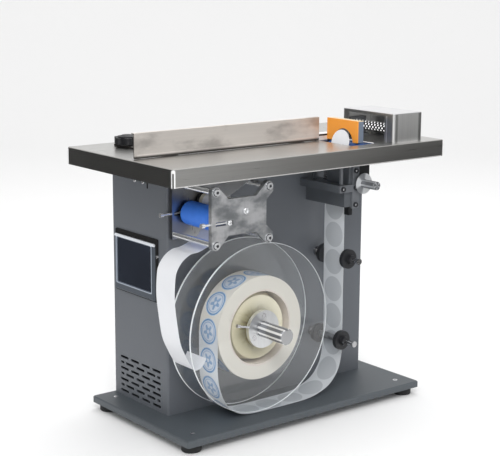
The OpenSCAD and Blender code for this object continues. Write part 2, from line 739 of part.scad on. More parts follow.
// Table roller under the table slot
troll_shaft_r = 6;
peel_gap = 3;
journal_step = 1;
journal_past = 2;
journal_r = troll_shaft_r - journal_step;
y_peel1 = y_troll0 - peel_gap;
y_peel0 = y_peel1 - peel_plate_thick;
module table_roller() color("royalblue") placed() at(x_troll, z_troll)
  tube(table_roller_r, troll_shaft_r, y_troll0, y_troll1);
module table_roller_shaft() color("silver") placed() at(x_troll, z_troll) {
  ycyl(troll_shaft_r, y_troll0, y_troll1);
  ycyl(journal_r, y_peel0 - journal_past, y_troll0);
  ycyl(journal_r, y_troll1, y_cab - 2 * air);
}

// Peel unit: front plate, bars, block, edge plate
strip_left = 6.5;
x_strip0 = x_tape - strip_left;
arm_drop = 80.5;     // lower edge of the arm below the table surface
z_arm0 = z_top - arm_drop;
arm_h = 13;
arm_left = 36;
x_arm0 = x_tape - arm_left;
strip_drop = 110.5;  // lower end of the strip below the table surface
z_strip0 = z_top - strip_drop;
knob_drop = 67;
knob_right = 15;
z_knobaxis = z_top - knob_drop;
x_knobaxis = x_tape + knob_right;
knob_shaft_r = 4;
head_h = 28;
peel_screw_r = 2.5;
peel_head_r = 4.5;
peel_head = 3;
bar_w = 12;
x_rbar = x_strip0 + strip_width;
rbar_drop = 49;
z_rbar = z_top - rbar_drop;
rbar_h = 11;
peel_boss_r = 12;
peel_screw_in = 8.5; // screw line left of the strip's right edge
arm_screw_in = 7;
x_pscrew = x_strip0 + strip_width - peel_screw_in;
peel_places = [[x_pscrew, z_rbar + rbar_h / 2], [x_pscrew, z_arm0 + arm_h / 2],
  [x_pscrew, z_strip0 + arm_h / 2], [x_arm0 + arm_screw_in, z_arm0 + arm_h / 2]];
plate_low = 2;       // the front plate ends just below the table sheet
module peel_front_plate() color("silver") placed() difference() {
  union() {
    box(x_strip0, x_strip0 + strip_width, y_peel0, y_peel1, z_strip0, z_under - plate_low);
    box(x_strip0, x_troll + 2 * troll_shaft_r, y_peel0, y_peel1, z_top - head_h, z_under - plate_low);
    box(x_arm0, x_strip0 + cut, y_peel0, y_peel1, z_arm0, z_arm0 + arm_h);
    at(x_knobaxis, z_knobaxis) ycyl(peel_boss_r, y_peel0, y_peel1);
    box(x_strip0 + cut, x_knobaxis, y_peel0, y_peel1,
      z_knobaxis - peel_boss_r / 2, z_knobaxis + peel_boss_r / 2);
  }
  at(x_troll, z_troll) ycyl(journal_r + fit, y_peel0 - cut, y_peel1 + cut);
  at(x_knobaxis, z_knobaxis) ycyl(knob_shaft_r + fit, y_peel0 - cut, y_peel1 + cut);
  for (p = peel_places) at(p[0], p[1]) ycyl(peel_screw_r + fit, y_peel0 - cut, y_peel1 + cut);
}
peel_screw_depth = 14;
tip_room = 2;
bar_side = 18.5;     // width of the long bar along the table
web_room = 2;        // free room beside the tape
post_w = 5;
link_t = 3.5;
side_t = 3.5;
side_left = 12;      // side plate left of the tape
side_deep = 57;
side_up = 35;
side_head = 6.5;
module peel_bars() color("dimgray") placed() {
  difference() {
    box(x_arm0, x_arm0 + bar_side, y_peel1, y_cab, z_arm0, z_arm0 + arm_h);
    at(peel_places[3][0], peel_places[3][1])
      ycyl(peel_screw_r, y_peel1 - cut, y_peel1 + peel_screw_depth);
  }
  difference() {
    union() {
      box(x_rbar - bar_w, x_rbar, y_peel1, y_web0 - web_room, z_rbar, z_rbar + rbar_h);
      box(x_rbar - link_t, x_rbar, y_peel1, y_cab, z_rbar, z_rbar + rbar_h);
    }
    at(peel_places[0][0], peel_places[0][1])
      ycyl(peel_screw_r, y_peel1 - cut, y_peel1 + peel_screw_depth);
  }
  box(x_arm0 + bar_w, x_arm0 + bar_w + post_w, y_web1 + web_room, y_web1 + web_room + post_w,
    z_arm0 + arm_h, z_under);
  box(x_tape - side_left, x_tape - side_left + side_t, y_peel1, y_peel1 + side_deep,
    z_edge0, z_edge0 + side_up);
  box(x_tape - side_left, x_tape - side_left + side_head, y_peel1, y_web0 - web_room, z_edge0, z_under);
}
block_h = 38;
block_up_in = 3;     // lower end of the block above the end of the strip
block_left = 22;
channel_left = 1.2;
channel = 3;
z_pblock0 = z_strip0 + block_up_in;
x_pblock0 = x_tape - block_left;
module peel_block() color("darkslategray") placed() difference() {
  union() {
    box(x_pblock0, x_rbar, y_peel1, y_cab, z_pblock0, z_arm0 - air);
    box(x_arm0 + bar_side + air, x_rbar, y_peel1, y_cab, z_pblock0, z_pblock0 + block_h);
  }
  box(x_tape - channel_left, x_tape + channel, y_web0 - web_room, y_web1 + web_room,
    z_pblock0 - cut, z_pblock0 + block_h + cut);
  for (p = [peel_places[1], peel_places[2]]) at(p[0], p[1])
    ycyl(peel_screw_r, y_peel1 - cut, y_peel1 + peel_screw_depth);
}
// The edge plate leans to the right; the tape runs up its right face
lean = 6.5;
edge_t = 2.4;
edge_h = 63.6;
x_edge = x_tape - web_t / 2 - air;
z_edge0 = z_pblock0 + block_h;
module peel_edge() color("silver") placed() intersection() {
  translate([x_edge, 0, z_edge0]) rotate([0, lean, 0])
    box(-edge_t, 0, y_web0 - web_room, y_web1 + web_room, -edge_t, edge_h);
  box(x_pblock0, x_rbar, y_peel1, y_cab, z_edge0, z_top);
}
module peel_screws() color("silver") placed() for (p = peel_places) at(p[0], p[1])
  cap_screw(peel_screw_r - fit, peel_head_r, peel_head, peel_plate_thick + peel_screw_depth - tip_room,
    y_peel0 - peel_head);
knob_thick = 1.5;
knob_gap = 2;
knob_tail = 6;
knob_stop = 5;
knob_stop_r = 6;
handle_r = 7.5;
handle_l = 33;
y_knobdisc = y_peel0 - peel_head - knob_gap - knob_thick;
module peel_knob() color("silver") placed() at(x_knobaxis, z_knobaxis) {
  ycyl(knob_r, y_knobdisc, y_knobdisc + knob_thick);
  ycyl(handle_r, y_knobdisc - handle_l, y_knobdisc);
  ycyl(knob_shaft_r, y_knobdisc + knob_thick, y_peel1 + knob_tail);
  ycyl(knob_stop_r, y_peel1 + 2 * air, y_peel1 + knob_stop);
}
sensor_w = 24;
sensor_past = 2;
sensor_d = peel_plate_thick + sensor_past;
sensor_h = 20;
z_sensor = z_knobaxis + peel_boss_r;
fork_left = 11;
fork_w = 8;
fork_d = 12;
fork_h = 15;
module label_sensor() color("black") placed() {
  box(x_rbar, x_rbar + sensor_w, y_peel0, y_peel0 + sensor_d, z_sensor, z_sensor + sensor_h);
  box(x_tape - fork_left, x_tape - fork_left + fork_w, y_peel1, y_peel1 + fork_d,
    z_pblock0 - fork_h, z_pblock0);
}

// Guide rollers
x_guide_low = x_tape - sleeve_r - air;
x_guide_high = x_tape + sleeve_r + air;
sleeve_past = 1;
y_sleeve1 = y_web1 + sleeve_past;
y_sleeve0 = y_web0 - sleeve_past;
low_tip = 28;        // lower shaft in front of its collar
high_tip = 23;
collar_hub_r = 8.5;
collar_hub = 10;
shaft_cap_r = 5.5;
shaft_cap = 4;
guide_flange_r = 9;
module guides() {
  at(x_guide_low, guide_low) children();
  at(x_guide_high, guide_high) children();
}
module guide_shaft(past) let (y = y_sleeve0 - collar_thick - past) {
  ycyl(guide_shaft_r, y, y_cab);
  ycyl(guide_flange_r, y_cab - shaft_cap, y_cab);
  ycyl(shaft_cap_r, y - shaft_cap, y);
}
module guide_shafts() color("silver") placed() {
  at(x_guide_low, guide_low) guide_shaft(low_tip);
  at(x_guide_high, guide_high) guide_shaft(high_tip);
}
module sleeve() tube(sleeve_r, guide_shaft_r + fit, y_sleeve0 + air, y_sleeve1 - air);
module lower_sleeve() color("gray") placed() at(x_guide_low, guide_low) sleeve();
module upper_sleeve() color("gray") placed() at(x_guide_high, guide_high) sleeve();
module rear_collars() color("black") placed() guides()
  tube(collar_r, guide_shaft_r, y_sleeve1 + air, y_sleeve1 + air + collar_thick);
module front_collar() difference() {
  union() {
    ycyl(collar_r, y_sleeve0 - collar_thick, y_sleeve0);
    ycyl(collar_hub_r, y_sleeve0 - collar_thick - collar_hub, y_sleeve0);
  }
  ycyl(guide_shaft_r + fit, y_sleeve0 - collar_thick - collar_hub - cut, y_sleeve0 + cut);
}
module lower_collar() color("black") placed() at(x_guide_low, guide_low) front_collar();
module upper_collar() color("black") placed() at(x_guide_high, guide_high) front_collar();

// Spool
module spool_bearing() color("silver") placed() at(x_spool, z_spool) difference() {
  union() {
    ycyl(bearing_flange_r, y_cab - bearing_flange, y_cab);
    ycyl(bearing_barrel_r, y_cab - bearing_reach, y_cab);
  }
  ycyl(shaft_r + fit, y_cab - bearing_reach - cut, y_cab + cut);
}
key_w = 5;
key_d = 3;
key_l = 50;
tip_bevel = 1;
groove = 2;          // groove for a retaining ring in front of the hub
groove_deep = 1;
groove_out = 3;
stop_gap = 1;
y_stop = y_cab + cabinet_sheet + stop_gap;
module spool_shaft() color("silver") placed() at(x_spool, z_spool) {
  difference() {
    union() {
      translate([0, y_tip, 0]) rotate([-90, 0, 0])
        cylinder(r1 = shaft_r - tip_bevel, r2 = shaft_r, h = tip_bevel);
      ycyl(shaft_r, y_tip + tip_bevel, y_hub - groove_out);
      ycyl(shaft_r - groove_deep, y_hub - groove_out - cut, y_hub - groove_out + groove + cut);
      ycyl(shaft_r, y_hub - groove_out + groove, y_cab + shaft_inner);
    }
    box(-key_w / 2, key_w / 2, y_tip - cut, y_tip + key_l, shaft_r - key_d, shaft_r + cut);
  }
  tube(stop_r, shaft_r, y_stop, y_stop + stop_thick);
}
module rear_disc() color("aliceblue") placed() at(x_spool, z_spool) difference() {
  ycyl(disc_r, y_rdisc0, y_rdisc1, $fn = disc_fn);
  ycyl(shaft_r, y_rdisc0 - cut, y_rdisc1 + cut);
}
drum_front_r = 56;
drum_seat = 18;
drum_recess = 8;
drum_r = core_r - 2 * fit;
module core_drum() color("khaki") placed() at(x_spool, z_spool) rotate([90, 0, 0])
  rotate_extrude($fn = disc_fn) polygon([[shaft_r, -y_rdisc0], [drum_r, -y_rdisc0],
    [drum_r, -y_rdisc0 + drum_seat], [drum_front_r, -y_web0 - drum_recess],
    [shaft_r, -y_web0 - drum_recess]]);
module front_disc() color("aliceblue") placed() at(x_spool, z_spool) difference() {
  ycyl(disc_r, y_fdisc0, y_fdisc1, $fn = disc_fn);
  ycyl(shaft_r + fit, y_fdisc0 - cut, y_fdisc1 + cut);
  hub_places() ycyl(hub_screw_r, y_fdisc0 - cut, y_fdisc1 + cut);
}
hub_screw_r = 2.5;
hub_screw_ring = 24;
hub_head_r = 4.25;
hub_head = 2.5;
thumb_r = 2;
thumb_l = 24;
thumb_knurl_r = 3.2;
thumb_knurl = 5;
thumb_turn = 14;     // the thumb screw's angle above the left-hand level
module hub_places() for (a = [30, 150, 270]) rotate([0, a, 0])
  translate([hub_screw_ring, 0, 0]) children();
module thumb_place() rotate([0, 180 + thumb_turn, 0])
  translate([0, (y_hub + y_fdisc0) / 2, 0]) children();
module front_hub() color("silver") placed() at(x_spool, z_spool) difference() {
  ycyl(hub_r, y_hub, y_fdisc0);
  ycyl(shaft_r + fit, y_hub - cut, y_fdisc0 + cut);
  hub_places() {
    ycyl(hub_screw_r, y_hub - cut, y_fdisc0 + cut);
    ycyl(hub_head_r + air, y_hub - cut, y_hub + hub_head);
  }
  thumb_place() xcyl(thumb_r, shaft_r, hub_r + cut);
}
module hub_screws() color("silver") placed() at(x_spool, z_spool) {
  hub_places() difference() {
    union() {
      ycyl(hub_head_r, y_hub, y_hub + hub_head);
      ycyl(hub_screw_r - fit, y_hub + hub_head, y_fdisc1 - fit);
    }
    translate([0, y_hub - cut, 0]) rotate([-90, 0, 0])
      cylinder(r = hub_screw_r / 2, h = cut + hub_head / 2, $fn = 6);
  }
  thumb_place() {
    xcyl(thumb_r - fit, shaft_r + 2 * fit, hub_r + thumb_l);
    xcyl(thumb_knurl_r, hub_r + thumb_l - thumb_knurl, hub_r + thumb_l);
  }
}
module label_core() color("tan") placed() at(x_spool, z_spool)
  tube(core_r + core_wall, core_r, y_web0, y_web1, $fn = disc_fn);
module label_roll() color("ivory") placed() at(x_spool, z_spool)
  tube(roll_r, core_r + core_wall, y_web0, y_web1, $fn = disc_fn);

// Label tape: roll, bottom loop, lower and upper guide roller, peel edge
web_low = z_base + 2 * air + web_t / 2;
x_leave = x_spool - roll_r - air - web_t / 2;
loop_w = x_tape - x_leave;
loop_h = z_spool - web_low;
// Places along the loop, as shares of its width and height
loop_shares = [[0, 1], [0, 0.8], [0.001, 0.6], [0.012, 0.43], [0.045, 0.26], [0.095, 0.13],
  [0.165, 0.045], [0.24, 0.01], [0.33, 0], [0.55, 0], [0.7, 0.006], [0.8, 0.038], [0.9, 0.12],
  [0.965, 0.26], [0.993, 0.42], [1, 0.55]];
edge_run = edge_h - edge_t;
tape_tip = [x_edge + edge_run * sin(lean) + web_t / 2 + air, z_edge0 + edge_run * cos(lean)];
tape_run = concat(smooth([for (s = loop_shares) [x_leave + s[0] * loop_w, web_low + s[1] * loop_h]], 6),
  [[x_tape, guide_low], [x_tape, guide_high], [x_tape, z_edge0], tape_tip]);
tip_tilt = 11;
tip_up = 8.5;        // centre of the last label above the peel edge
module label_web() color("whitesmoke") placed() {
  xz(y_web0, y_web1) polygon(ribbon(tape_run, web_t));
  translate([tape_tip[0] + web_t, y_arch, tape_tip[1]]) rotate([0, tip_tilt, 0]) difference() {
    translate([0, 0, tip_up]) xcyl(label_d / 2, 0, web_t);
    box(-cut, web_t + cut, -label_d, label_d, -label_d, web_t);
  }
}

// Backing paper: peel edge, over the tie rod, round the drive roller, nip, hanging loop
rod_left = 59.5;
rod_right = 49;
rod_low = 51;
rod_high = 36;
x_rod_l = x_drive - rod_left;
x_rod_r = x_drive + rod_right;
z_rod_lo = z_drive - rod_low;
z_rod_hi = z_drive + rod_high;
wrap_r = drive_r + air + web_t / 2;
nip_angle = 180 + atan2(pinch_drop, pinch_left);
rod_meet = 98;
waste_dip = 7.2;
waste_top = tape_tip - [edge_t + 3 * air, 0];
rod_over = rod_r + air + web_t / 2;
hang_left = 46;
hang_drop = 64.5;
x_hang = x_drive - hang_left;
z_hang = z_drive - hang_drop;
hang_w = 63;
hang_h = 205;
// Places along the hanging paper, as shares of its width and drop
hang_shares = [[0, 0], [0.25, 0.024], [0.5, 0.034], [0.75, 0.08], [0.93, 0.155], [0.985, 0.24],
  [1, 0.40], [0.93, 0.58], [0.83, 0.75], [0.66, 0.87], [0.44, 0.985], [0.28, 1], [0.13, 0.975],
  [0.01, 0.92]];
// Places left of and below the drive roller, as shares of the pinch roller's radius
fall_shares = [[0.5, 1.1], [0.65, 1.85], [1.25, 2.65]];
nip_shares = [0.15, 0.4];
rod_wrap = [x_drive - x_rod_r, z_drive - z_rod_hi];
wrap_start = atan2(-rod_wrap[1], -rod_wrap[0]) + acos((wrap_r - rod_over) / norm(rod_wrap));
waste_run = concat([waste_top, waste_top - [waste_dip, waste_dip]],
  [for (i = [0 : 3]) let (a = rod_meet + (wrap_start - rod_meet) * i / 3)
    [x_rod_r + rod_over * cos(a), z_rod_hi + rod_over * sin(a)]],
  [for (i = [0 : 8]) let (a = wrap_start + (nip_angle - wrap_start) * i / 8)
    [x_drive + wrap_r * cos(a), z_drive + wrap_r * sin(a)]],
  smooth(concat([[x_drive + wrap_r * cos(nip_angle) + nip_shares[0] * pinch_r,
      z_drive + wrap_r * sin(nip_angle) - nip_shares[1] * pinch_r]],
    [for (s = fall_shares) [x_drive - s[0] * pinch_r, z_drive - s[1] * pinch_r]],
    [for (s = hang_shares) [x_hang - s[0] * hang_w, z_hang - s[1] * hang_h]]), 6));
module waste_web() color("white") placed() xz(y_web0, y_web1) polygon(ribbon(waste_run, web_t));

// Drive unit
ear_r = 9;
body_hi = 22.5;
body_lo = 37.5;
body_r = 44;
notch_l = 34;
notch_r = 23;
slot_l = 60;
slot_r = 25;
slot_h = 7;
slide_air = 0.1;
slide_in = 1;
axle_r = 2.5;
shaft_drive_r = 5;
ears = [[x_rod_l, z_rod_lo], [x_rod_l, z_rod_hi], [x_rod_r, z_rod_lo], [x_rod_r, z_rod_hi]];
module front_outline() {
  translate([x_rod_l - ear_r, z_drive - body_lo])
    square([body_r + x_drive - x_rod_l + ear_r, body_hi + body_lo]);
  for (e = ears) translate(e) circle(ear_r);
  polygon([[x_drive - notch_l, z_drive + body_hi], [x_rod_l + ear_in, z_rod_hi + ear_in],
    [x_rod_l - ear_r, z_rod_hi], [x_rod_l - ear_r, z_drive]]);
  polygon([[x_rod_l - ear_r, z_drive], [x_rod_l - ear_r, z_rod_lo], [x_rod_l + ear_in, z_rod_lo - ear_in],
    [x_drive - notch_l, z_drive - body_lo]]);
  polygon([[x_drive + body_r, z_drive + body_hi - ear_r], [x_rod_r + ear_r, z_rod_hi - ear_r],
    [x_rod_r + ear_r, z_rod_hi], [x_rod_r - ear_in, z_rod_hi + ear_in],
    [x_drive + notch_r, z_drive + body_hi]]);
  polygon([[x_drive + notch_r, z_drive - body_lo], [x_rod_r - ear_in, z_rod_lo - ear_in],
    [x_rod_r + ear_r, z_rod_lo], [x_rod_r + ear_r, z_rod_lo + ear_r],
    [x_drive + body_r, z_drive - body_lo + ear_r]]);
}
ear_share = 0.7;
ear_in = ear_r * ear_share;
rod_screw_r = 2.5;
x_slot_mid = x_drive - (slot_l + slot_r) / 2;
module plate_cuts(y0, y1) {
  for (e = ears) at(e[0], e[1]) ycyl(rod_screw_r + fit, y0 - cut, y1 + cut);
  at(x_drive, z_drive) ycyl(shaft_drive_r + fit, y0 - cut, y1 + cut);
  xz(y0 - cut, y1 + cut) translate([x_slot_mid, z_pinch])
    square([slot_l - slot_r, slot_h], center = true);
  translate([0, (y0 + y1) / 2, z_pinch]) xcyl(adjust_r + fit, x_rod_l - ear_r - cut, x_slot_mid);
}
adjust_r = 2;
module drive_front_plate() color("silver") placed() difference() {
  xz(y_fplate0, y_fplate1) front_outline();
  plate_cuts(y_fplate0, y_fplate1);
}
module drive_rear_plate() color("gainsboro") placed() {
  difference() {
    box(x_rod_l - ear_r + rear_plate_in, x_rod_r + ear_r, y_rplate0, y_rplate1,
      z_rod_lo - ear_r, z_rod_hi + ear_r);
    plate_cuts(y_rplate0, y_rplate1);
  }
  for (x = [x_drive - slot_r, x_rod_r + ear_r - rod_r], z = [z_rod_lo - ear_r + rod_r, z_rod_hi])
    at(x, z) ycyl(rod_r, y_rplate1, y_cab);
}
rear_plate_in = 4;
rod_head_r = 5.5;
rod_head = 3;
washer_r = 7.5;
washer = 1.5;
module tie_rods() color("silver") placed() for (e = ears) at(e[0], e[1]) {
  ycyl(rod_r, y_fplate1, y_rplate0);
  ycyl(rod_screw_r, y_rplate0, y_rplate1 - fit);
  ycyl(washer_r, y_fplate0 - washer, y_fplate0);
  cap_screw(rod_screw_r, rod_head_r, rod_head, plate_thick + washer, y_fplate0 - washer - rod_head);
}
end_gap = 2;
cheek = 5;
cheek_r = 15.5;
axle_past = 1;
module drive_roller() color("antiquewhite") placed() at(x_drive, z_drive) {
  ycyl(drive_r, y_fplate1 + end_gap, y_rplate0 - end_gap - cheek);
  ycyl(cheek_r, y_rplate0 - end_gap - cheek, y_rplate0 - end_gap);
}
module drive_shaft() color("silver") placed() at(x_drive, z_drive) {
  ycyl(shaft_drive_r, y_rplate0 - end_gap, y_pulley + pulley_w + pulley_flange);
  ycyl(shaft_drive_r, y_fplate0 - axle_past, y_fplate1 + end_gap);
  pulley(shaft_drive_r);
}
module pinch_roller() color("royalblue") placed() at(x_pinch, z_pinch)
  ycyl(pinch_r, y_fplate1 + end_gap, y_rplate0 - end_gap - cheek);
pinch_cheek_r = 16.5;
module pinch_axle() color("dimgray") placed() at(x_pinch, z_pinch) {
  ycyl(pinch_cheek_r, y_rplate0 - end_gap - cheek, y_rplate0 - end_gap);
  ycyl(axle_r, y_rplate0 - end_gap, y_rplate1 - axle_past);
  ycyl(axle_r, y_fplate0 - end_gap, y_fplate1 + end_gap);
}
carriage_w = 12;
module pinch_carriage() color("gray") placed() for (y = [y_fplate0, y_rplate0]) difference() {
  box(x_pinch - carriage_w / 2, x_pinch + carriage_w / 2, y + slide_in, y + plate_thick - slide_in,
    z_pinch - slot_h / 2 + slide_air, z_pinch + slot_h / 2 - slide_air);
  at(x_pinch, z_pinch) ycyl(axle_r + fit, y - cut, y + plate_thick + cut);
}
adjust_out = 18;
adjust_head_r = 4;
adjust_head = 6;
x_adjust = x_rod_l - ear_r - adjust_out;
module adjust_screw(y0) translate([0, y0 + plate_thick / 2, z_pinch]) {
  xcyl(adjust_r, x_adjust, x_pinch - carriage_w / 2 - air);
  xcyl(adjust_head_r, x_adjust, x_adjust + adjust_head);
}
module adjust_screw_front() color("silver") placed() adjust_screw(y_fplate0);
module adjust_screw_rear() color("silver") placed() adjust_screw(y_rplate0);

base_plate();
rubber_feet();
cabinet_screws();
cabinet_shell();
back_cover();
power_inlet();
power_rocker();
panel_frame();
panel_glass();
power_supply();
control_board();
step_motor();
motor_pulley();
timing_belt();
table_top();
fence_plate();
fence_arms();
fence_knob_left();
fence_knob_right();
press_cover();
press_frame();
press_roller();
guide_block();
guide_face();
table_roller();
table_roller_shaft();
peel_front_plate();
peel_bars();
peel_block();
peel_edge();
peel_screws();
peel_knob();
label_sensor();
guide_shafts();
lower_sleeve();
upper_sleeve();
rear_collars();
lower_collar();
upper_collar();
spool_bearing();
spool_shaft();
rear_disc();
core_drum();
front_disc();
front_hub();
hub_screws();
label_core();
label_roll();
label_web();
waste_web();
drive_front_plate();
drive_rear_plate();
tie_rods();
drive_roller();
drive_shaft();
pinch_roller();
pinch_axle();
pinch_carriage();
adjust_screw_front();
adjust_screw_rear();
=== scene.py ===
import math

import bmesh
import bpy
from mathutils import Matrix, Vector


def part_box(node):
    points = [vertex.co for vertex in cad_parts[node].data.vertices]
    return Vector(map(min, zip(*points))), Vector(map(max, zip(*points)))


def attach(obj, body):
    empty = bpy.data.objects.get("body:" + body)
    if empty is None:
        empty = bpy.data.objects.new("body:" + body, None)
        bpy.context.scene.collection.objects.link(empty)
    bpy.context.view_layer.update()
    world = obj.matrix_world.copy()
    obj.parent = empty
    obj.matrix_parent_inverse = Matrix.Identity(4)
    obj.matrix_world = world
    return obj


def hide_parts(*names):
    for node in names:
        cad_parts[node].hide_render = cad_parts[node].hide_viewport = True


# The machine stands in its own frame: X along the table to the right, Y to the back,
# Z up from the floor, in metres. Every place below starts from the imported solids.
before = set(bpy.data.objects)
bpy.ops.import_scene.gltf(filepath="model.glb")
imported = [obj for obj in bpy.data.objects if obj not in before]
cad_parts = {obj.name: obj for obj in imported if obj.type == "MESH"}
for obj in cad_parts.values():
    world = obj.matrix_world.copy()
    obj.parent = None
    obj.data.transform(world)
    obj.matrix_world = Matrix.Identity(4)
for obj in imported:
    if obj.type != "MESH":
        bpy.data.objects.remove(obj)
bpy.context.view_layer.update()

# Camera. It looks at the machine from the front left, a little from above, through a
# long lens, as in the photograph. Its place was worked out from the table's corners.
heading, lift, lean = math.radians(-38.1903), math.radians(11.5146), math.radians(0.292)
stand = Vector((-1.4298, -1.7803, 0.7924))
backward = Vector((math.sin(heading) * math.cos(lift), -math.cos(heading) * math.cos(lift), math.sin(lift)))
across = Vector((0, 0, 1)).cross(backward).normalized()
upward = backward.cross(across)
across, upward = (across * math.cos(lean) + upward * math.sin(lean),
                  upward * math.cos(lean) - across * math.sin(lean))
lens = bpy.data.cameras.new("camera")
lens.sensor_width = 36
lens.lens = 93.59
lens.clip_end = 30
camera = bpy.data.objects.new("camera", lens)
camera.matrix_world = Matrix((across, upward, backward)).transposed().to_4x4()
camera.location = stand
bpy.context.scene.collection.objects.link(camera)
bpy.context.scene.camera = camera
bpy.context.scene.view_settings.view_transform = "Standard"


# Studio. A pale floor that runs up into a backdrop, two soft boxes, and toned cards that
# only metal and glass see, as a photographer sets them beside steel.
class Wire:
    """One socket of a finish that takes part in sums."""

    def __init__(self, finish, socket):
        self.finish, self.socket = finish, socket

    def maths(self, operation, *values):
        return self.finish.node("Math", {"operation": operation}, dict(enumerate(values)))

    def __add__(self, other):
        return self.maths("ADD", self, other)

    def __radd__(self, other):
        return self.maths("ADD", other, self)

    def __sub__(self, other):
        return self.maths("SUBTRACT", self, other)

    def __rsub__(self, other):
        return self.maths("SUBTRACT", other, self)

    def __mul__(self, other):
        return self.maths("MULTIPLY", self, other)

    def __rmul__(self, other):
        return self.maths("MULTIPLY", other, self)

    def __pow__(self, other):
        return self.maths("POWER", self, other)

    def __gt__(self, other):
        return self.maths("GREATER_THAN", self, other)

    def __lt__(self, other):
        return self.maths("LESS_THAN", self, other)

    def cosine(self):
        return self.maths("COSINE", self)

    def within(self, low, high):
        """0 below low, 1 above high, and a smooth rise between them."""
        return self.finish.node("MapRange", {"interpolation_type": "SMOOTHSTEP"},
                                {0: self, 1: low, 2: high})


class Finish:
    """One material, built from its nodes."""

    def __init__(self, name, owner=None):
        self.material = owner or bpy.data.materials.new(name)
        self.material.use_nodes = True
        self.tree = self.material.node_tree
        self.tree.nodes.clear()

    def node(self, kind, settings=None, sockets=None, out=0):
        made = self.tree.nodes.new("ShaderNode" + kind)
        for name, value in (settings or {}).items():
            setattr(made, name, value)
        for name, value in (sockets or {}).items():
            socket = made.inputs[name]
            if isinstance(value, Wire):
                self.tree.links.new(value.socket, socket)
            elif socket.type == "RGBA":
                socket.default_value = (*value[:3], 1)
            else:
                socket.default_value = value
        return Wire(self, made.outputs[out]) if len(made.outputs) else None

    def place(self, stretch=(1, 1, 1)):
        """The point on the piece at rest, in metres, stretched along the axes."""
        spot = self.node("TexCoord", out=3)
        return self.node("Mapping", {}, {"Vector": spot, "Scale": stretch})

    def grain(self, scale, detail=3.0, stretch=(1, 1, 1), rough=0.55):
        return self.node("TexNoise", {}, {"Vector": self.place(stretch), "Scale": scale,
                                          "Detail": detail, "Roughness": rough})

    def ripple(self, along, scale, detail):
        """Noise along one number, such as an angle or a distance."""
        return self.node("TexNoise", {"noise_dimensions": "1D"},
                         {"W": along, "Scale": scale, "Detail": detail})

    def mix(self, first, second, share):
        return self.node("Mix", {"data_type": "RGBA"}, {0: share, 6: first, 7: second}, out=2)

    def relief(self, height, depth, strength):
        return self.node("Bump", {}, {"Height": height, "Distance": depth, "Strength": strength})

    def parts(self, vector=None):
        """The three numbers of a vector, or of the point on the piece."""
        split = self.node("SeparateXYZ", {}, {"Vector": vector or self.place()})
        return [Wire(self, out) for out in split.socket.node.outputs]

    def surface(self, **sockets):
        names = {name.replace("_", " ").title().replace("Ior", "IOR"): value
                 for name, value in sockets.items()}
        shader = self.node("BsdfPrincipled", {}, names)
        self.shader = shader.socket.node
        self.node("OutputMaterial", {}, {"Surface": shader})
        return self

    def tint(self, colour, share):
        """Lays a colour over the base colour that the surface has."""
        base = self.shader.inputs["Base Color"]
        laid = self.mix(Wire(self, base.links[0].from_socket), colour, share)
        self.tree.links.new(laid.socket, base)


def stand_in(name, data):
    """A new object of the scene."""
    made = bpy.data.objects.new(name, data)
    bpy.context.scene.collection.objects.link(made)
    return made


floor_reach, floor_back, wall_height, bend, bend_steps = 4.0, 3.2, 3.0, 1.2, 12
profile = [(-floor_reach, 0.0)]
for i in range(bend_steps + 1):
    turn = math.pi / 2 * i / bend_steps
    profile.append((floor_back + bend * math.sin(turn), bend - bend * math.cos(turn)))
profile.append((floor_back + bend, wall_height))
backdrop_mesh = bpy.data.meshes.new("backdrop")
backdrop_mesh.from_pydata([(side * floor_reach, y, z) for y, z in profile for side in (-1, 1)], [],
                          [(2 * i, 2 * i + 1, 2 * i + 3, 2 * i + 2) for i in range(len(profile) - 1)])
backdrop_mesh.shade_smooth()
backdrop = stand_in("backdrop", backdrop_mesh)
backdrop.matrix_world = Matrix.Rotation(heading, 4, "Z")
paper = Finish("studio_paper")
paper.surface(base_color=paper.mix((0.955,) * 3, (0.985,) * 3, paper.grain(0.8, 2.0)), roughness=0.9)
backdrop_mesh.materials.append(paper.material)

sky = Finish("sky", bpy.data.worlds.new("studio"))
bpy.context.scene.world = sky.material
sky_glow = sky.node("Background", {}, {"Color": (1, 1, 1), "Strength": 0.82})
sky.node("OutputWorld", {}, {"Surface": sky_glow})


def soft_box(name, place, target, width, height, power):
    lamp = bpy.data.lights.new(name, "AREA")
    lamp.shape = "RECTANGLE"
    lamp.size, lamp.size_y, lamp.energy = width, height, power
    box = stand_in(name, lamp)
    box.location = place
    box.rotation_euler = (Vector(target) - Vector(place)).to_track_quat("-Z", "Y").to_euler()


soft_box("key_box", place=(-1.6, -1.9, 2.4), target=(0, 0, 0.3), width=1.6, height=1.2, power=34)
soft_box("top_box", place=(0.8, 0.6, 2.6), target=(0, 0, 0.4), width=1.8, height=1.8, power=22)
tone_start, tone_end = 0.2, 0.78


def card(name, corner, wide, high, near, far):
    """A card beside the set that only metal and glass see, in two tones along X."""
    a, u, v = Vector(corner), Vector(wide), Vector(high)
    sheet = bpy.data.meshes.new(name)
    sheet.from_pydata([a, a + u, a + u + v, a + v], [], [(0, 1, 2, 3)])
    made = stand_in(name, sheet)
    look = Finish(name)
    tone = look.mix((near,) * 3, (far,) * 3, look.parts()[0].within(tone_start, tone_end))
    look.surface(base_color=(0, 0, 0), roughness=1.0, specular_ior_level=0.0, emission_strength=1.0,
                 emission_color=tone)
    sheet.materials.append(look.material)
    made.visible_camera = made.visible_diffuse = made.visible_shadow = False
    made.visible_transmission = False


card("card_left", corner=(-0.6, -0.2, 0.0), wide=(0, 1.7, 0), high=(0, 0, 0.9), near=0.042, far=0.042)
card("card_front", corner=(-0.1, -0.55, 0.0), wide=(2.8, 0.0, 0), high=(0, -0.5, 0.42), near=0.46, far=0.01)


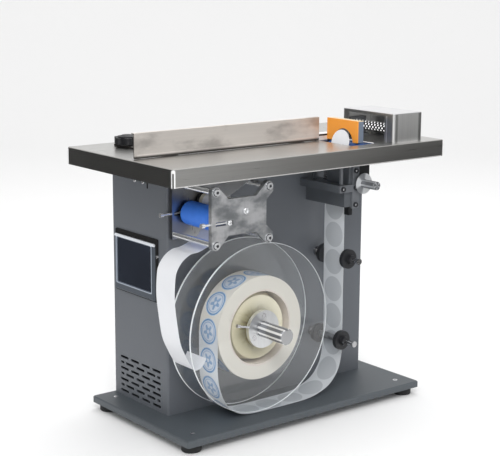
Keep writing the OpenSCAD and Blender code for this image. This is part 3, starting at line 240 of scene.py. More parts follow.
# Base plate. A thick steel plate, powder coated dark blue-grey, with rounded corners
# and a bevelled top edge; the cabinet is bolted to it from below.
def paint(red, green, blue):
    """A colour as it shows on a screen, 0 to 255, in linear light."""
    return tuple((c / 255 / 12.92) if c <= 10 else ((c / 255 + 0.055) / 1.055) ** 2.4
                 for c in (red, green, blue))


def darker(colour, share):
    return tuple(c * share for c in colour)


def dress(finish, *names):
    for name in names:
        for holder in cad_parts[name].material_slots:
            holder.material = finish.material


def powder_coat(name, colour, dust):
    look = Finish(name)
    cloud = look.grain(5.0, 4.0)
    worn = look.mix(darker(colour, 0.94), darker(colour, 1.07), cloud)
    dusty = look.mix(worn, dust, look.grain(420.0, 2.0).within(0.62, 0.8) * 0.25)
    return look.surface(base_color=dusty, roughness=0.42 + cloud * 0.12,
                        normal=look.relief(look.grain(900.0, 2.0), 0.0004, 0.35))


dress(powder_coat("base_powder_coat", paint(80, 86, 91), dust=paint(130, 134, 138)), "base_plate")


# Rubber feet. Four turned black feet with a moulded dome and a threaded stud each,
# screwed into the underside of the base plate.
def mottled(name, dark, light, scale, roughness, spread=0.0, detail=3.0, stretch=(1, 1, 1),
            span=None, bump=None, fine=None, **more):
    """A finish that wanders between two tones. Its relief follows that cloud, by the depth
    and strength of bump, or its own, by the scale, depth and strength of fine."""
    look = Finish(name)
    cloud = look.grain(scale, detail, stretch)
    share = cloud.within(*span) if span else cloud
    if bump:
        more["normal"] = look.relief(cloud, *bump)
    if fine:
        more["normal"] = look.relief(look.grain(fine[0]), *fine[1:])
    return look.surface(base_color=look.mix(dark, light, share),
                        roughness=roughness + cloud * spread if spread else roughness, **more)


foot_rubber = mottled("foot_rubber", paint(24, 25, 27), paint(52, 53, 55), 140.0, roughness=0.55,
                      spread=0.2, detail=4.0, span=(0.45, 0.8), bump=(0.0006, 0.4))
dress(foot_rubber, "rubber_feet")


# Screws. Bright zinc-plated socket and cap screws hold the base, the cabinet and its
# back cover together; the clamp hub of the spool has its own.
def bright_metal(name, colour, roughness, scratch):
    look = Finish(name)
    mark = look.grain(scratch, 4.0, (1, 1, 0.15))
    return look.surface(base_color=look.mix(darker(colour, 0.8), colour, mark), metallic=1.0,
                        roughness=roughness + mark * 0.15, normal=look.relief(mark, 0.0002, 0.3))


zinc = bright_metal("bright_zinc", paint(236, 236, 238), roughness=0.18, scratch=300.0)
dress(zinc, "cabinet_screws", "hub_screws")

# Cabinet. A folded sheet-steel case, powder coated blue-grey with a fine texture, and a
# shallow back cover screwed on behind. Its left side has pan-head screws and a hang slot.
dress(powder_coat("cabinet_powder_coat", paint(100, 104, 110), dust=paint(120, 124, 130)),
      "cabinet_shell", "back_cover")


def piece(name, shape, finish, body, crease=35.0):
    """A named piece from its corners and faces, which moves with a body."""
    corners, faces = shape
    mesh = bpy.data.meshes.new(name)
    mesh.from_pydata(corners, [], faces)
    mesh.update()
    work = bmesh.new()
    work.from_mesh(mesh)
    bmesh.ops.recalc_face_normals(work, faces=work.faces)
    work.to_mesh(mesh)
    work.free()
    mesh.shade_smooth()
    mesh.set_sharp_from_angle(angle=math.radians(crease))
    mesh.materials.append(finish.material)
    made = stand_in(name, mesh)
    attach(made, body)
    return made


def joined(name, shapes, finish, body):
    """One piece from several shapes."""
    corners, faces = [], []
    for more, rings in shapes:
        start = len(corners)
        corners += more
        faces += [tuple(start + i for i in ring) for ring in rings]
    return piece(name, (corners, faces), finish, body)


def block(name, low, high, round_r, finish, body):
    """A block with rounded edges between two corners."""
    work = bmesh.new()
    bmesh.ops.create_cube(work, size=1.0)
    for corner in work.verts:
        corner.co = Vector([low[i] + (corner.co[i] + 0.5) * (high[i] - low[i]) for i in range(3)])
    bmesh.ops.bevel(work, geom=work.edges[:], offset=round_r, segments=2, profile=0.5, affect="EDGES")
    work.verts.index_update()
    shape = [v.co[:] for v in work.verts], [[v.index for v in f.verts] for f in work.faces]
    work.free()
    return piece(name, shape, finish, body)


def loft(rings, close=False):
    """A skin over like rings of corners, closed into a loop or capped at both ends."""
    size = len(rings[0])
    corners = [c for ring in rings for c in ring]
    faces = []
    for i in range(len(rings) - (0 if close else 1)):
        j = (i + 1) % len(rings)
        for k in range(size):
            n = (k + 1) % size
            faces.append((i * size + k, i * size + n, j * size + n, j * size + k))
    if not close:
        faces += [tuple(range(size)), tuple(len(corners) - size + k for k in range(size))]
    return corners, faces


def lathe(outline, steps, place, along):
    """A turned shape. The outline holds (distance along the axis, radius)."""
    along = Vector(along).normalized()
    side = along.orthogonal().normalized()
    other = along.cross(side)
    rings = []
    for reach, radius in outline:
        middle = Vector(place) + along * reach
        rings.append([middle + (side * math.cos(turn) + other * math.sin(turn)) * radius
                      for turn in (2 * math.pi * k / steps for k in range(steps))])
    return loft(rings[:-1], close=True) if outline[0] == outline[-1] else loft(rings)


cab_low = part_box("cabinet_shell")[0]
side_screws = [(0.080, 0.425), (0.055, 0.425), (0.013, 0.302)]
pan_r, pan_high = 0.0034, 0.0025
pan_head = [(pan_high * up, pan_r * wide)
            for up, wide in ((-0.2, 1), (0, 1), (0.4, 1), (0.8, 0.8), (1, 0.4), (0.85, 0.2))]
joined("side_screws", [lathe(pan_head, 20, (cab_low.x, y, z), (-1, 0, 0)) for y, z in side_screws],
       zinc, "machine")
shadow_black = mottled("shadow_black", (0.004, 0.004, 0.004), (0.012, 0.012, 0.013), 60.0, roughness=0.9)
hang_y, hang_z, hang_wide, hang_long = 0.042, 0.4205, 0.004, 0.0095
hang_proud, hang_deep, hang_round = 0.0003, 0.001, 0.0002
block("hang_slot", (cab_low.x - hang_proud, hang_y - hang_wide / 2, hang_z - hang_long / 2),
      (cab_low.x + hang_deep, hang_y + hang_wide / 2, hang_z + hang_long / 2), hang_round,
      shadow_black, "machine")

# Touch panel. A slate plastic bezel with sloping edges around a dark glass screen,
# clipped into the cabinet's left side. A black sheet round its top and front is painted
# shadow for the gap there; the bezel's front and lower strips are darkened as painted shade.
bezel_low, bezel_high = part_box("panel_frame")
glass_low, glass_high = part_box("panel_glass")
bezel_edges = (bezel_low.y, bezel_high.y, bezel_low.z, bezel_high.z)
glass_edges = (glass_low.y, glass_high.y, glass_low.z, glass_high.z)
wall_x, front_x, sink_x, seat = cab_low.x, bezel_low.x, glass_low.x, 0.001
bezel_slope, bezel_round, glass_round, round_steps = 0.0042, 0.003, 0.0016, 4
strip_shade_from, strip_shade_blur = 0.0030, 0.0006
bezel_slate = mottled("bezel_slate", paint(98, 108, 121), paint(114, 123, 137), 30.0, roughness=0.38,
                      spread=0.15, detail=4.0, fine=(1200.0, 0.0002, 0.3))
bezel_y, bezel_z = bezel_slate.parts()[1:]
# Painted shade: the bezel is darkened along its strips in front of and below the screen.
front_strip_shade = 1 - bezel_y.within(glass_low.y - strip_shade_from - strip_shade_blur, glass_low.y - strip_shade_from)
lower_strip_shade = 1 - bezel_z.within(glass_low.z - strip_shade_from - strip_shade_blur, glass_low.z - strip_shade_from)
bezel_slate.tint(paint(72, 79, 88), front_strip_shade.maths("MAXIMUM", front_strip_shade, lower_strip_shade))


def frame_ring(x, edges, grow=0.0, r=bezel_round):
    """A rounded rectangle that faces along X, grown past its edges."""
    y0, y1, z0, z1 = edges[0] - grow, edges[1] + grow, edges[2] - grow, edges[3] + grow
    ring = []
    for y, z, start in ((y1 - r, z1 - r, 0), (y0 + r, z1 - r, 90), (y0 + r, z0 + r, 180),
                        (y1 - r, z0 + r, 270)):
        for k in range(round_steps + 1):
            turn = math.radians(start + 90 * k / round_steps)
            ring.append((x, y + r * math.cos(turn), z + r * math.sin(turn)))
    return ring


trim_gap, trim_step = 0.0016, 0.0008
bezel = piece("panel_bezel", loft([
    frame_ring(wall_x, bezel_edges), frame_ring(front_x + bezel_slope, bezel_edges),
    frame_ring(front_x, bezel_edges, -bezel_slope), frame_ring(front_x, glass_edges, trim_gap),
    frame_ring(front_x + trim_step, glass_edges, trim_gap * 0.8),
    frame_ring(sink_x, glass_edges, r=glass_round), frame_ring(sink_x + seat, glass_edges, r=glass_round),
    frame_ring(wall_x + seat, bezel_edges)], close=True),
    bezel_slate, "machine", crease=20.0)
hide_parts("panel_frame")
trim_wide, trim_proud, shine_from, shine_blur = 0.0010, 0.0004, 0.0011, 0.0004
# The trim round the screen is pale; on the top bevel that paleness is painted light from above, and above the
# screen it is lighter still as a painted highlight.
pale_trim = mottled("pale_trim", paint(176, 186, 198), paint(206, 213, 222), 50.0, roughness=0.35, spread=0.1)
pale_trim.tint(paint(232, 236, 242), pale_trim.parts()[2].within(
    glass_high.z + shine_from, glass_high.z + shine_from + shine_blur))
piece("panel_trim", loft([frame_ring(x, glass_edges, grow) for x, grow in (
    (front_x, trim_gap + trim_wide), (front_x - trim_proud, trim_gap + trim_wide),
    (front_x - trim_proud, trim_gap), (front_x, trim_gap))], close=True),
      pale_trim, "machine", crease=20.0)
bevel_in, bevel_round, bevel_foot = 0.0012, 0.0005, glass_high.z + trim_gap
bevel = [(wall_x, bezel_high.z), (front_x + bevel_in, bezel_high.z - bevel_round),
         (front_x - trim_proud / 2, bevel_foot), (front_x + trim_step, bevel_foot - trim_proud),
         (wall_x, bevel_foot - trim_proud)]
piece("panel_top_bevel", loft([[(x, y, z) for x, z in bevel]
                               for y in (bezel_low.y + seat, bezel_high.y - seat)]),
      pale_trim, "machine", crease=20.0)
# Painted shadow: a black sheet round the panel's top and front stands in for the shadow in the gap behind it.
shadow_gap_top, shadow_gap_front, shadow_gap_thick = 0.009, 0.007, 0.0018
shadow_gap_out = (bezel_low.y - shadow_gap_front, bezel_high.y, bezel_low.z, bezel_high.z + shadow_gap_top)
shadow_gap_in = (bezel_low.y, bezel_high.y - seat, bezel_low.z + seat, bezel_high.z)
piece("panel_shadow_gap", loft([frame_ring(x, edges) for x, edges in (
    (wall_x, shadow_gap_out), (wall_x - shadow_gap_thick, shadow_gap_out), (wall_x - shadow_gap_thick, shadow_gap_in),
    (wall_x, shadow_gap_in))], close=True), shadow_black, "machine", crease=20.0)
dress(mottled("dark_screen", paint(34, 38, 46), paint(44, 49, 60), 12.0, roughness=0.06, spread=0.06,
              coat_weight=0.6), "panel_glass")

# Power inlet and switch. A black plastic inlet with three pins and a red rocker, pressed
# into the back cover.
black_plastic = mottled("black_plastic", paint(28, 29, 32), paint(44, 45, 49), 500.0, roughness=0.38,
                        spread=0.2, bump=(0.0002, 0.4))
dress(black_plastic, "power_inlet")
dress(mottled("red_plastic", paint(150, 24, 24), paint(176, 36, 32), 80.0, roughness=0.25, spread=0.1),
      "power_rocker")

# Electronics. A vented power supply, a control board with its chips, and a stepping
# motor with a belt drive sit closed up in the cabinet.
dress(bright_metal("supply_tin", paint(176, 178, 180), roughness=0.35, scratch=90.0),
      "power_supply", "motor_pulley")
dress(mottled("board_green", paint(16, 70, 38), paint(46, 118, 66), 260.0, roughness=0.35, spread=0.1,
              detail=1.0, stretch=(1, 0.1, 1), span=(0.48, 0.55)), "control_board")
dress(bright_metal("motor_black", paint(58, 59, 61), roughness=0.4, scratch=120.0), "step_motor")
dress(foot_rubber, "timing_belt")


# Table. Brushed stainless sheet with folded rims. The rims meet in an open seam at
# each corner, drawn as a dark strip of painted shadow between near-white folds of painted
# highlight, and their folded edges are polished bright.
def brushed(name, colour, along, roughness, depth=0.00006, streak=520.0):
    """Brushed steel with its grain along one axis."""
    look = Finish(name)
    stretch = [1.0, 1.0, 1.0]
    stretch[along] = 0.012
    line = look.grain(streak, 5.0, tuple(stretch), 0.7)
    cloud = look.grain(7.0)
    tone = look.mix(darker(colour, 0.80), darker(colour, 1.06), line)
    tone = look.mix(tone, darker(colour, 0.86), cloud.within(0.45, 0.75) * 0.6)
    return look.surface(base_color=tone, metallic=1.0, roughness=roughness + line * 0.14 + cloud * 0.06,
                        normal=look.relief(line, depth, 0.6))


table_low, table_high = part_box("table_top")
rim_skin = 0.0006
table_steel = brushed("table_stainless", paint(200, 199, 196), along=0, roughness=0.2)
rim_x, rim_y = table_steel.parts()[:2]
# Painted shade: the front rim darkens towards its right end.
on_rim = 1 - rim_y.within(table_low.y + rim_skin, table_low.y + 2 * rim_skin)
table_steel.tint((0.03, 0.03, 0.03), rim_x.within(0.0, table_high.x) * on_rim * 0.3)
dress(table_steel, "table_top")
corner_r, seam_gap, fold_wide, strip_steps = 0.005, 0.0022, 0.0026, 12
fold_proud, fold_below, slit_proud, slit_foot, slit_below = 0.0001, 0.0015, 0.00025, 0.0002, 0.0065


def bent_strip(middle, reach, proud, low_z, high_z, crown):
    """A thin strip bent round a table corner, with a rounded upper end."""
    x, y, turn = middle
    outer, inner = corner_r + proud, corner_r - rim_skin
    rings = []
    for k in range(strip_steps + 1):
        side = 2 * k / strip_steps - 1
        across, top = turn + side * reach / corner_r, high_z - crown * (1 - math.sqrt(1 - side * side))
        rings.append([(x + far * math.cos(across), y + far * math.sin(across), z)
                      for far, z in ((outer, low_z), (outer, top), (inner, top), (inner, low_z))])
    return loft(rings)


folds, slits = [], []
for sx, sy in ((-1, -1), (-1, 1), (1, -1), (1, 1)):
    middle = ((table_low.x if sx < 0 else table_high.x) - sx * corner_r,
              (table_low.y if sy < 0 else table_high.y) - sy * corner_r, math.atan2(sy, sx))
    share = 1.0 if sx < 0 else 0.5
    folds.append(bent_strip(middle, (seam_gap / 2 + fold_wide) * share, fold_proud,
                            table_low.z, table_high.z - fold_below, crown=seam_gap))
    slits.append(bent_strip(middle, seam_gap / 2 * share, slit_proud,
                            table_low.z + slit_foot, table_high.z - slit_below, crown=seam_gap / 2))
# Painted highlight: near-white strips on the folds beside each corner seam.
fold_highlight = mottled("fold_highlight", paint(222, 222, 220), paint(252, 252, 251), 160.0, roughness=0.3,
                    spread=0.1, metallic=0.2)
joined("corner_folds", folds, fold_highlight, "machine")
joined("corner_gaps", slits, shadow_black, "machine")


def bead(long, r, steps, place, along):
    """A thin round bead with eased ends."""
    return lathe([(0.0, r * 0.6), (r, r), (long - r, r), (long, r * 0.6)], steps, place, along)


polished = bright_metal("polished_fold", paint(238, 237, 235), roughness=0.12, scratch=200.0)
hem_r, hem_in = 0.0009, 0.0005
hem_long = table_high.x - table_low.x - 2 * corner_r
joined("rim_hems", [bead(hem_long, hem_r, 12, (table_low.x + corner_r, y, table_low.z + hem_r), (1, 0, 0))
                    for y in (table_low.y + hem_in, table_high.y - hem_r)],
       polished, "machine")
lip_r, lip_in, lip_long, lip_gap = 0.0021, 0.0012, 0.070, 0.002
roll_low, roll_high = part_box("table_roller")
lip_start = (roll_high.x + lip_gap + lip_r * 0.4, roll_low.y + lip_in, table_high.z - lip_r * 0.7)
piece("slot_lip", bead(lip_long + lip_r, lip_r, 24, lip_start, (0, 1, 0)), polished, "machine")

# Fence. A folded stainless strip with a hemmed foot, screwed down through two slotted
# arms by black lobed knobs, so that it slides to the width of the bottle.
fence_low, fence_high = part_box("fence_plate")
fence_steel = brushed("fence_stainless", paint(240, 234, 228), along=0, roughness=0.42, depth=0.00005,
                      streak=300.0)
stain = fence_steel.grain(11.0, 4.0, (1, 1, 2.2)).within(0.5, 0.72)
# Painted shadow: the fence darkens along its foot, where it meets the table.
above_foot = fence_steel.parts()[2].within(fence_low.z + 0.002, fence_low.z + 0.0055)
fence_steel.tint((0.30, 0.28, 0.265), stain * 0.55)
fence_steel.tint((0.02, 0.018, 0.017), (1 - above_foot) * 0.88)
dress(fence_steel, "fence_plate", "fence_arms")
dress(black_plastic, "fence_knob_left", "fence_knob_right")
foot_rise, foot_proud, foot_round, foot_ends = 0.0065, 0.0005, 0.0004, 0.0045
block("fence_hem", (fence_low.x + foot_ends, fence_low.y - foot_proud, fence_low.z),
      (fence_high.x - foot_ends, fence_low.y + foot_round, fence_low.z + foot_rise), foot_round,
      fence_steel, "fence")

# Press cover. A stainless hood, open below and on both sides. Its front is darkened as
# painted shade along each side, and its left side as well; a painted highlight lightens its
# top edge, and another marks the folded edge of its left opening.
cover_low, cover_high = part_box("press_cover")
cover_steel = brushed("cover_stainless", paint(228, 228, 227), along=2, roughness=0.26, depth=0.00005,
                      streak=420.0)
cover_x, cover_y, cover_z = cover_steel.parts()
# Painted shade: dark bands along both sides of the front and over the left side.
left_band = cover_x.within(cover_low.x + 0.0035, cover_low.x + 0.006) \
    * (1 - cover_x.within(cover_low.x + 0.009, cover_low.x + 0.012))
right_band = cover_x.within(cover_high.x - 0.012, cover_high.x - 0.008)
below_top = 1 - cover_z.within(cover_high.z - 0.0015, cover_high.z - 0.0008)
in_front = 1 - cover_y.within(cover_low.y + 0.002, cover_low.y + 0.004)
left_side = (1 - in_front) * (1 - cover_x.within(cover_low.x + 0.002, cover_low.x + 0.004))
cover_shade = (left_band * 0.42 + right_band * 0.6) * in_front + left_side * 0.4
cover_steel.tint((0, 0, 0), cover_shade * below_top)
# Painted highlight along the top edge.
cover_steel.tint((0.92, 0.92, 0.97), (1 - below_top) * 0.3)
gate_y, gate_z, gate_edge, gate_blur = cover_low.y + 0.0190, cover_high.z - 0.005, 0.0022, 0.0002
# Painted highlight on the folded edge of the left opening.
jamb_highlight = cover_y.within(gate_y - gate_edge * 1.4, gate_y - gate_edge) \
    * (1 - cover_y.within(gate_y + gate_blur, gate_y + 3 * gate_blur)) \
    * (1 - cover_z.within(gate_z, gate_z + gate_edge * 0.4))
cover_steel.tint((1, 1, 1), left_side * jamb_highlight * 0.7)
dress(cover_steel, "press_cover")


# Press roller. A steel roller with a diamond knurl presses the label on; its thinner
# ends turn in two anodised plates under the cover.
def ringed(look, x, z):
    """The distance from an axis along Y, and the angle round it."""
    px, pz = look.parts()[::2]
    dx, dz = px - x, pz - z
    return (dx * dx + dz * dz) ** 0.5, dz.maths("ARCTAN2", dz, dx)


def axis_of(name):
    """Where a turned solid has its axis, along X and Z."""
    low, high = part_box(name)
    return (low.x + high.x) / 2, (low.z + high.z) / 2


press_low, press_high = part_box("press_roller")
frame_low, frame_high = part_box("press_frame")
press_x, press_z = axis_of("press_roller")
press_r = (press_high.z - press_low.z) / 2
knurl_pitch, knurl_turn_pitch, knurl_depth, knurl_fine, knurl_in = 0.0078, 0.0094, 0.0012, 8, 0.006
knurl_start, knurl_end = frame_low.y + knurl_in, frame_high.y - knurl_in
knurl_rows = round((knurl_end - knurl_start) / knurl_pitch) * knurl_fine
knurl_round = round(2 * math.pi * press_r / knurl_turn_pitch)
knurl_rings = []
for i in range(knurl_rows + 1):
    y = knurl_start + (knurl_end - knurl_start) * i / knurl_rows
    ring = []
    for k in range(knurl_round * knurl_fine):
        turn = 2 * math.pi * k / (knurl_round * knurl_fine)
        rise = math.cos(2 * math.pi * i / knurl_fine) * math.cos(turn * knurl_round)
        radius = press_r - knurl_depth * (1 - rise) / 2
        ring.append((press_x + radius * math.cos(turn), y, press_z + radius * math.sin(turn)))
    knurl_rings.append(ring)
# The knurl's colour is painted light: glowing white glints on the peaks, which fade out on the lower side as
# painted shade, over near-black valleys of painted shade; the thinner ends take the dark valley colour.
knurl_steel = Finish("knurl_steel")
peak_glint = ringed(knurl_steel, press_x, press_z)[0].within(press_r - knurl_depth * 0.42,
                                                       press_r - knurl_depth * 0.2) \
    * knurl_steel.parts()[2].within(press_z - press_r * 0.85, press_z - press_r * 0.35)
knurl_steel.surface(base_color=knurl_steel.mix(paint(16, 16, 18), paint(250, 250, 250), peak_glint),
                    metallic=0.0, roughness=0.25 + knurl_steel.grain(200.0) * 0.1, emission_strength=1.0,
                    emission_color=knurl_steel.mix((0, 0, 0), (1, 1, 1), peak_glint))
end_r, end_ease = press_r * 0.44, 0.0006
press_ends = lathe([(press_low.y, end_r * 0.85), (press_low.y + end_ease, end_r),
                    (press_high.y - end_ease, end_r), (press_high.y, end_r * 0.85)],
                   32, (press_x, 0, press_z), (0, 1, 0))
press_roller = joined("knurled_press_roller", [loft(knurl_rings), press_ends], knurl_steel,
                      "press_roll")
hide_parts("press_roller")
dress(bright_metal("clear_anodised", paint(150, 152, 155), roughness=0.42, scratch=160.0), "press_frame")


# Guide block. A grey-blue anodised block with an orange plastic face, cut out in an arch
# where the label comes off the peel edge. Its heel at the back is pale, with a dark line.
def anodised(name, colour, metallic):
    """Aluminium with a dull dyed skin."""
    look = Finish(name)
    cloud = look.grain(36.0, 4.0)
    return look.surface(base_color=look.mix(darker(colour, 0.88), darker(colour, 1.1), cloud),
                        metallic=metallic, roughness=0.34 + cloud * 0.14,
                        normal=look.relief(look.grain(700.0, 2.0), 0.0002, 0.3))


block_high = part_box("guide_block")[1]
heel_long, heel_blur, line_start, line_end, line_blur = 0.020, 0.0004, 0.0072, 0.0106, 0.0003
block_blue = anodised("block_anodised", paint(128, 140, 158), metallic=0.3)
heel_y, heel_z = block_blue.parts()[1:]
on_heel = heel_y.within(block_high.y - heel_long - 2 * heel_blur, block_high.y - heel_long - heel_blur)
dark_line = heel_z.within(table_high.z + line_start, table_high.z + line_start + heel_blur) \
    * (1 - heel_z.within(table_high.z + line_end, table_high.z + line_end + line_blur))
block_blue.tint(block_blue.mix(paint(244, 245, 246), paint(30, 31, 34), dark_line), on_heel)
# Painted highlight: a pale cream line along the block's top edge.
block_blue.tint(paint(250, 226, 176), heel_z.within(block_high.z - 0.0012, block_high.z - 0.0006) * 0.8)
dress(block_blue, "guide_block")
dress(mottled("orange_plastic", paint(255, 158, 50), paint(255, 172, 66), 40.0, roughness=0.35,
              spread=0.12, detail=4.0, fine=(700.0, 0.0002, 0.3)), "guide_face")

# Table roller. A dark blue silicone sleeve on a ground steel shaft, in the slot of the
# table.
dress(anodised("table_silicone", paint(40, 84, 150), metallic=0.0), "table_roller")
ground_steel = brushed("ground_steel", paint(200, 200, 202), along=1, roughness=0.16, depth=0.00003,
                       streak=700.0)
dress(ground_steel, "table_roller_shaft")

# Guide rollers. Two ground steel shafts carry milled aluminium sleeves between black
# plastic collars, which keep the tape in its place.
milled = Finish("milled_aluminium")
mill_cloud = milled.grain(26.0, 5.0, (1, 1, 1.6))
mill_line = milled.grain(380.0, 4.0, (1, 1, 0.08))
mill_tone = milled.mix(paint(128, 131, 134), paint(206, 206, 208), mill_cloud.within(0.34, 0.66))
milled.surface(base_color=milled.mix(mill_tone, paint(132, 136, 139), mill_line * 0.4), metallic=0.75,
               roughness=0.36 + mill_cloud * 0.18, normal=milled.relief(mill_line, 0.00005, 0.5))
dress(milled, "lower_sleeve", "upper_sleeve")
dress(ground_steel, "guide_shafts")
dress(black_plastic, "rear_collars", "lower_collar", "upper_collar")

# Peel unit. Anodised strips and bars carry the ground peel edge and the black label
# sensor; blackened socket screws hold them, and a short post stands behind the strip.
dress(ground_steel, "peel_edge")
strip_grey = anodised("strip_anodised", paint(122, 125, 130), metallic=0.4)
dress(strip_grey, "peel_front_plate")
dress(anodised("bar_anodised", paint(106, 110, 115), metallic=0.35), "peel_bars")
dress(anodised("block_dark_anodised", paint(98, 102, 107), metallic=0.3), "peel_block")
dress(anodised("sensor_black", paint(22, 23, 25), metallic=0.0), "label_sensor")
screw_dark = anodised("blackened_screw", paint(62, 64, 68), metallic=0.5)
dress(screw_dark, "peel_screws")
screw_low, screw_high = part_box("peel_screws")
strip_low, strip_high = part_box("peel_front_plate")
head_r, eye_r, eye_in, arm_up = 0.0045, 0.0023, 0.0006, 0.0365
left_x, right_x, arm_z = screw_low.x + head_r, screw_high.x - head_r, strip_low.z + arm_up
eyes = [(right_x, screw_low.z + head_r), (right_x, screw_high.z - head_r), (right_x, arm_z), (left_x, arm_z)]
eye = [(-0.0012, eye_r), (-0.0004, eye_r), (0.0002, eye_r * 0.7), (0.0004, eye_r * 0.2)]
joined("peel_screw_sockets", [lathe(eye, 6, (x, screw_low.y + eye_in, z), (0, -1, 0)) for x, z in eyes],
       zinc, "machine")
post_wide, post_shift, post_gap = 0.0055, 0.001, 0.0002
post_foot, post_below, post_round = 0.0066, 0.003, 0.0006
post_x = left_x + post_shift
block("peel_post", (post_x - post_wide / 2, strip_high.y + post_gap, arm_z + post_foot),
      (post_x + post_wide / 2, strip_high.y + post_wide, table_high.z - post_below), post_round,
      strip_grey, "machine")

# Drive unit. Bright rods with washers and socket screws hold a milled front plate and a
# polished rear one. A blue silicone roller presses the paper on a cream nylon one, which
# has a dark cheek.
dress(milled, "drive_front_plate")
dress(bright_metal("polished_plate", paint(182, 183, 186), roughness=0.22, scratch=60.0), "drive_rear_plate")
dress(mottled("blue_silicone", paint(42, 108, 214), paint(66, 136, 240), 60.0, roughness=0.42,
              spread=0.15, detail=4.0, bump=(0.0003, 0.3)), "pinch_roller")
dress(black_plastic, "pinch_axle")
nip_x, nip_z = axis_of("drive_roller")
nip_high, cheek_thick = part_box("drive_roller")[1], 0.0052
cream = mottled("cream_nylon", paint(196, 190, 170), paint(222, 216, 198), 45.0, roughness=0.5, spread=0.1)
cream.tint(paint(34, 35, 38), cream.parts()[1] > nip_high.y - cheek_thick)
dress(cream, "drive_roller")
rod_bright = mottled("bright_rods", paint(212, 214, 217), paint(246, 247, 248), 90.0, roughness=0.16,
                     spread=0.12, metallic=0.75)
dress(rod_bright, "tie_rods", "drive_shaft", "pinch_carriage", "adjust_screw_front", "adjust_screw_rear")
plate_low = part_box("drive_front_plate")[0]
axle_x, axle_z = axis_of("pinch_axle")
rod_low, rod_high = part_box("tie_rods")
rod_in, hole_r, washer_in, washer_out, washer_back, skin = 0.0075, 0.0027, 0.0056, 0.0066, 0.003, 0.0003
rods = [(x, z) for x in (rod_low.x + rod_in, rod_high.x - rod_in)
        for z in (rod_low.z + rod_in, rod_high.z - rod_in)]
hole = [(0.0, hole_r), (skin, hole_r), (skin, hole_r * 0.4)]
washer = [(0.0, washer_in), (skin, washer_in), (skin, washer_out), (0.0, washer_out), (0.0, washer_in)]
joined("rod_screw_sockets", [lathe(hole, 6, (x, rod_low.y, z), (0, -1, 0)) for x, z in rods],
       screw_dark, "machine")
joined("rod_washer_rings", [lathe(washer, 32, (x, rod_low.y + washer_back, z), (0, -1, 0)) for x, z in rods],
       screw_dark, "machine")
dome_r, dome_high, dome_gap, dome_steps = 0.0044, 0.0026, 0.0002, 5
dome = [(0.0, dome_r), (dome_high * 0.35, dome_r)]
dome += [(dome_high * (0.35 + 0.65 * math.sin(math.pi / 2 * k / dome_steps)),
          dome_r * math.cos(math.pi / 2 * k / (dome_steps + 0.5))) for k in range(1, dome_steps + 1)]
piece("pinch_axle_screw", lathe(dome, 32, (axle_x, plate_low.y - dome_gap, axle_z), (0, -1, 0)),
      rod_bright, "pinch")
socket_r, socket_high, socket_gap, centre_r = 0.0055, 0.0040, 0.001, 0.0001
socket_head = [(0.0, socket_r), (socket_high * 0.85, socket_r), (socket_high, socket_r * 0.88),
               (socket_high, socket_r * 0.55), (socket_high * 0.4, socket_r * 0.5),
               (socket_high * 0.4, centre_r)]
piece("drive_shaft_screw", lathe(socket_head, 32, (nip_x, plate_low.y - socket_gap, nip_z), (0, -1, 0)),
      rod_bright, "drive")

# Hand knob. A thin turned aluminium disc with a long polished handle, whose end has a
# bright rounded rim.
knob_x, knob_z = axis_of("peel_knob")
knob_low, grip_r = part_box("peel_knob")[0], 0.0075
knob_alloy = Finish("knob_aluminium")
knob_cloud = knob_alloy.grain(70.0)
knob_far, knob_turn = ringed(knob_alloy, knob_x, knob_z)
# Painted reflection: light and dark sectors round the turned disc, and streaks along the handle.
disc_reflection = (knob_turn * 3 + 0.6).cosine() * 0.5 + 0.5
disc_tone = knob_alloy.mix(paint(236, 238, 240), paint(140, 143, 147), disc_reflection.within(0.3, 0.85))
grip_reflection = (knob_turn * 5 + 2.0).cosine().within(0.1, 0.8)
grip_tone = knob_alloy.mix(paint(104, 106, 110), paint(196, 198, 201), grip_reflection)
on_grip = 1 - knob_far.within(grip_r + 0.0002, grip_r + 0.0008)
knob_tone = knob_alloy.mix(disc_tone, grip_tone, on_grip)
knob_alloy.surface(base_color=knob_alloy.mix(knob_tone, paint(196, 198, 201), knob_cloud * 0.25),
                   metallic=0.45, roughness=0.24 + knob_cloud * 0.12)
dress(knob_alloy, "peel_knob")
cap_start, cap_ease, cap_long, cap_wall, cap_round, cap_proud = 0.0002, 0.0008, 0.0030, 0.0016, 0.0003, 0.0002
cap = [(cap_start, grip_r - cap_wall), (cap_start, grip_r - cap_round), (cap_ease, grip_r + cap_proud / 2),
       (cap_long - cap_ease, grip_r + cap_proud), (cap_long, grip_r + cap_proud),
       (cap_long, grip_r - cap_wall), (cap_start, grip_r - cap_wall)]
piece("knob_end", lathe(cap, 40, (knob_x, knob_low.y, knob_z), (0, 1, 0)), rod_bright,
      "hand_knob")

# Spool discs. Two clear acrylic discs, cut from sheet; the sawn rims show as a frosted
# white line with a faint painted glow.
acrylic = Finish("clear_acrylic")
clear = acrylic.node("BsdfPrincipled", {}, {"Base Color": (0.965, 0.975, 0.98), "Roughness": 0.02,
                                            "IOR": 1.49, "Transmission Weight": 1.0})
open_air = acrylic.node("BsdfTransparent", {}, {"Color": (0.93, 0.94, 0.95)})
shadow_ray = acrylic.node("LightPath", out=1)
seen = acrylic.node("MixShader", {}, {0: shadow_ray, 1: clear, 2: open_air})
acrylic.node("OutputMaterial", {}, {"Surface": seen})
dress(acrylic, "rear_disc", "front_disc")
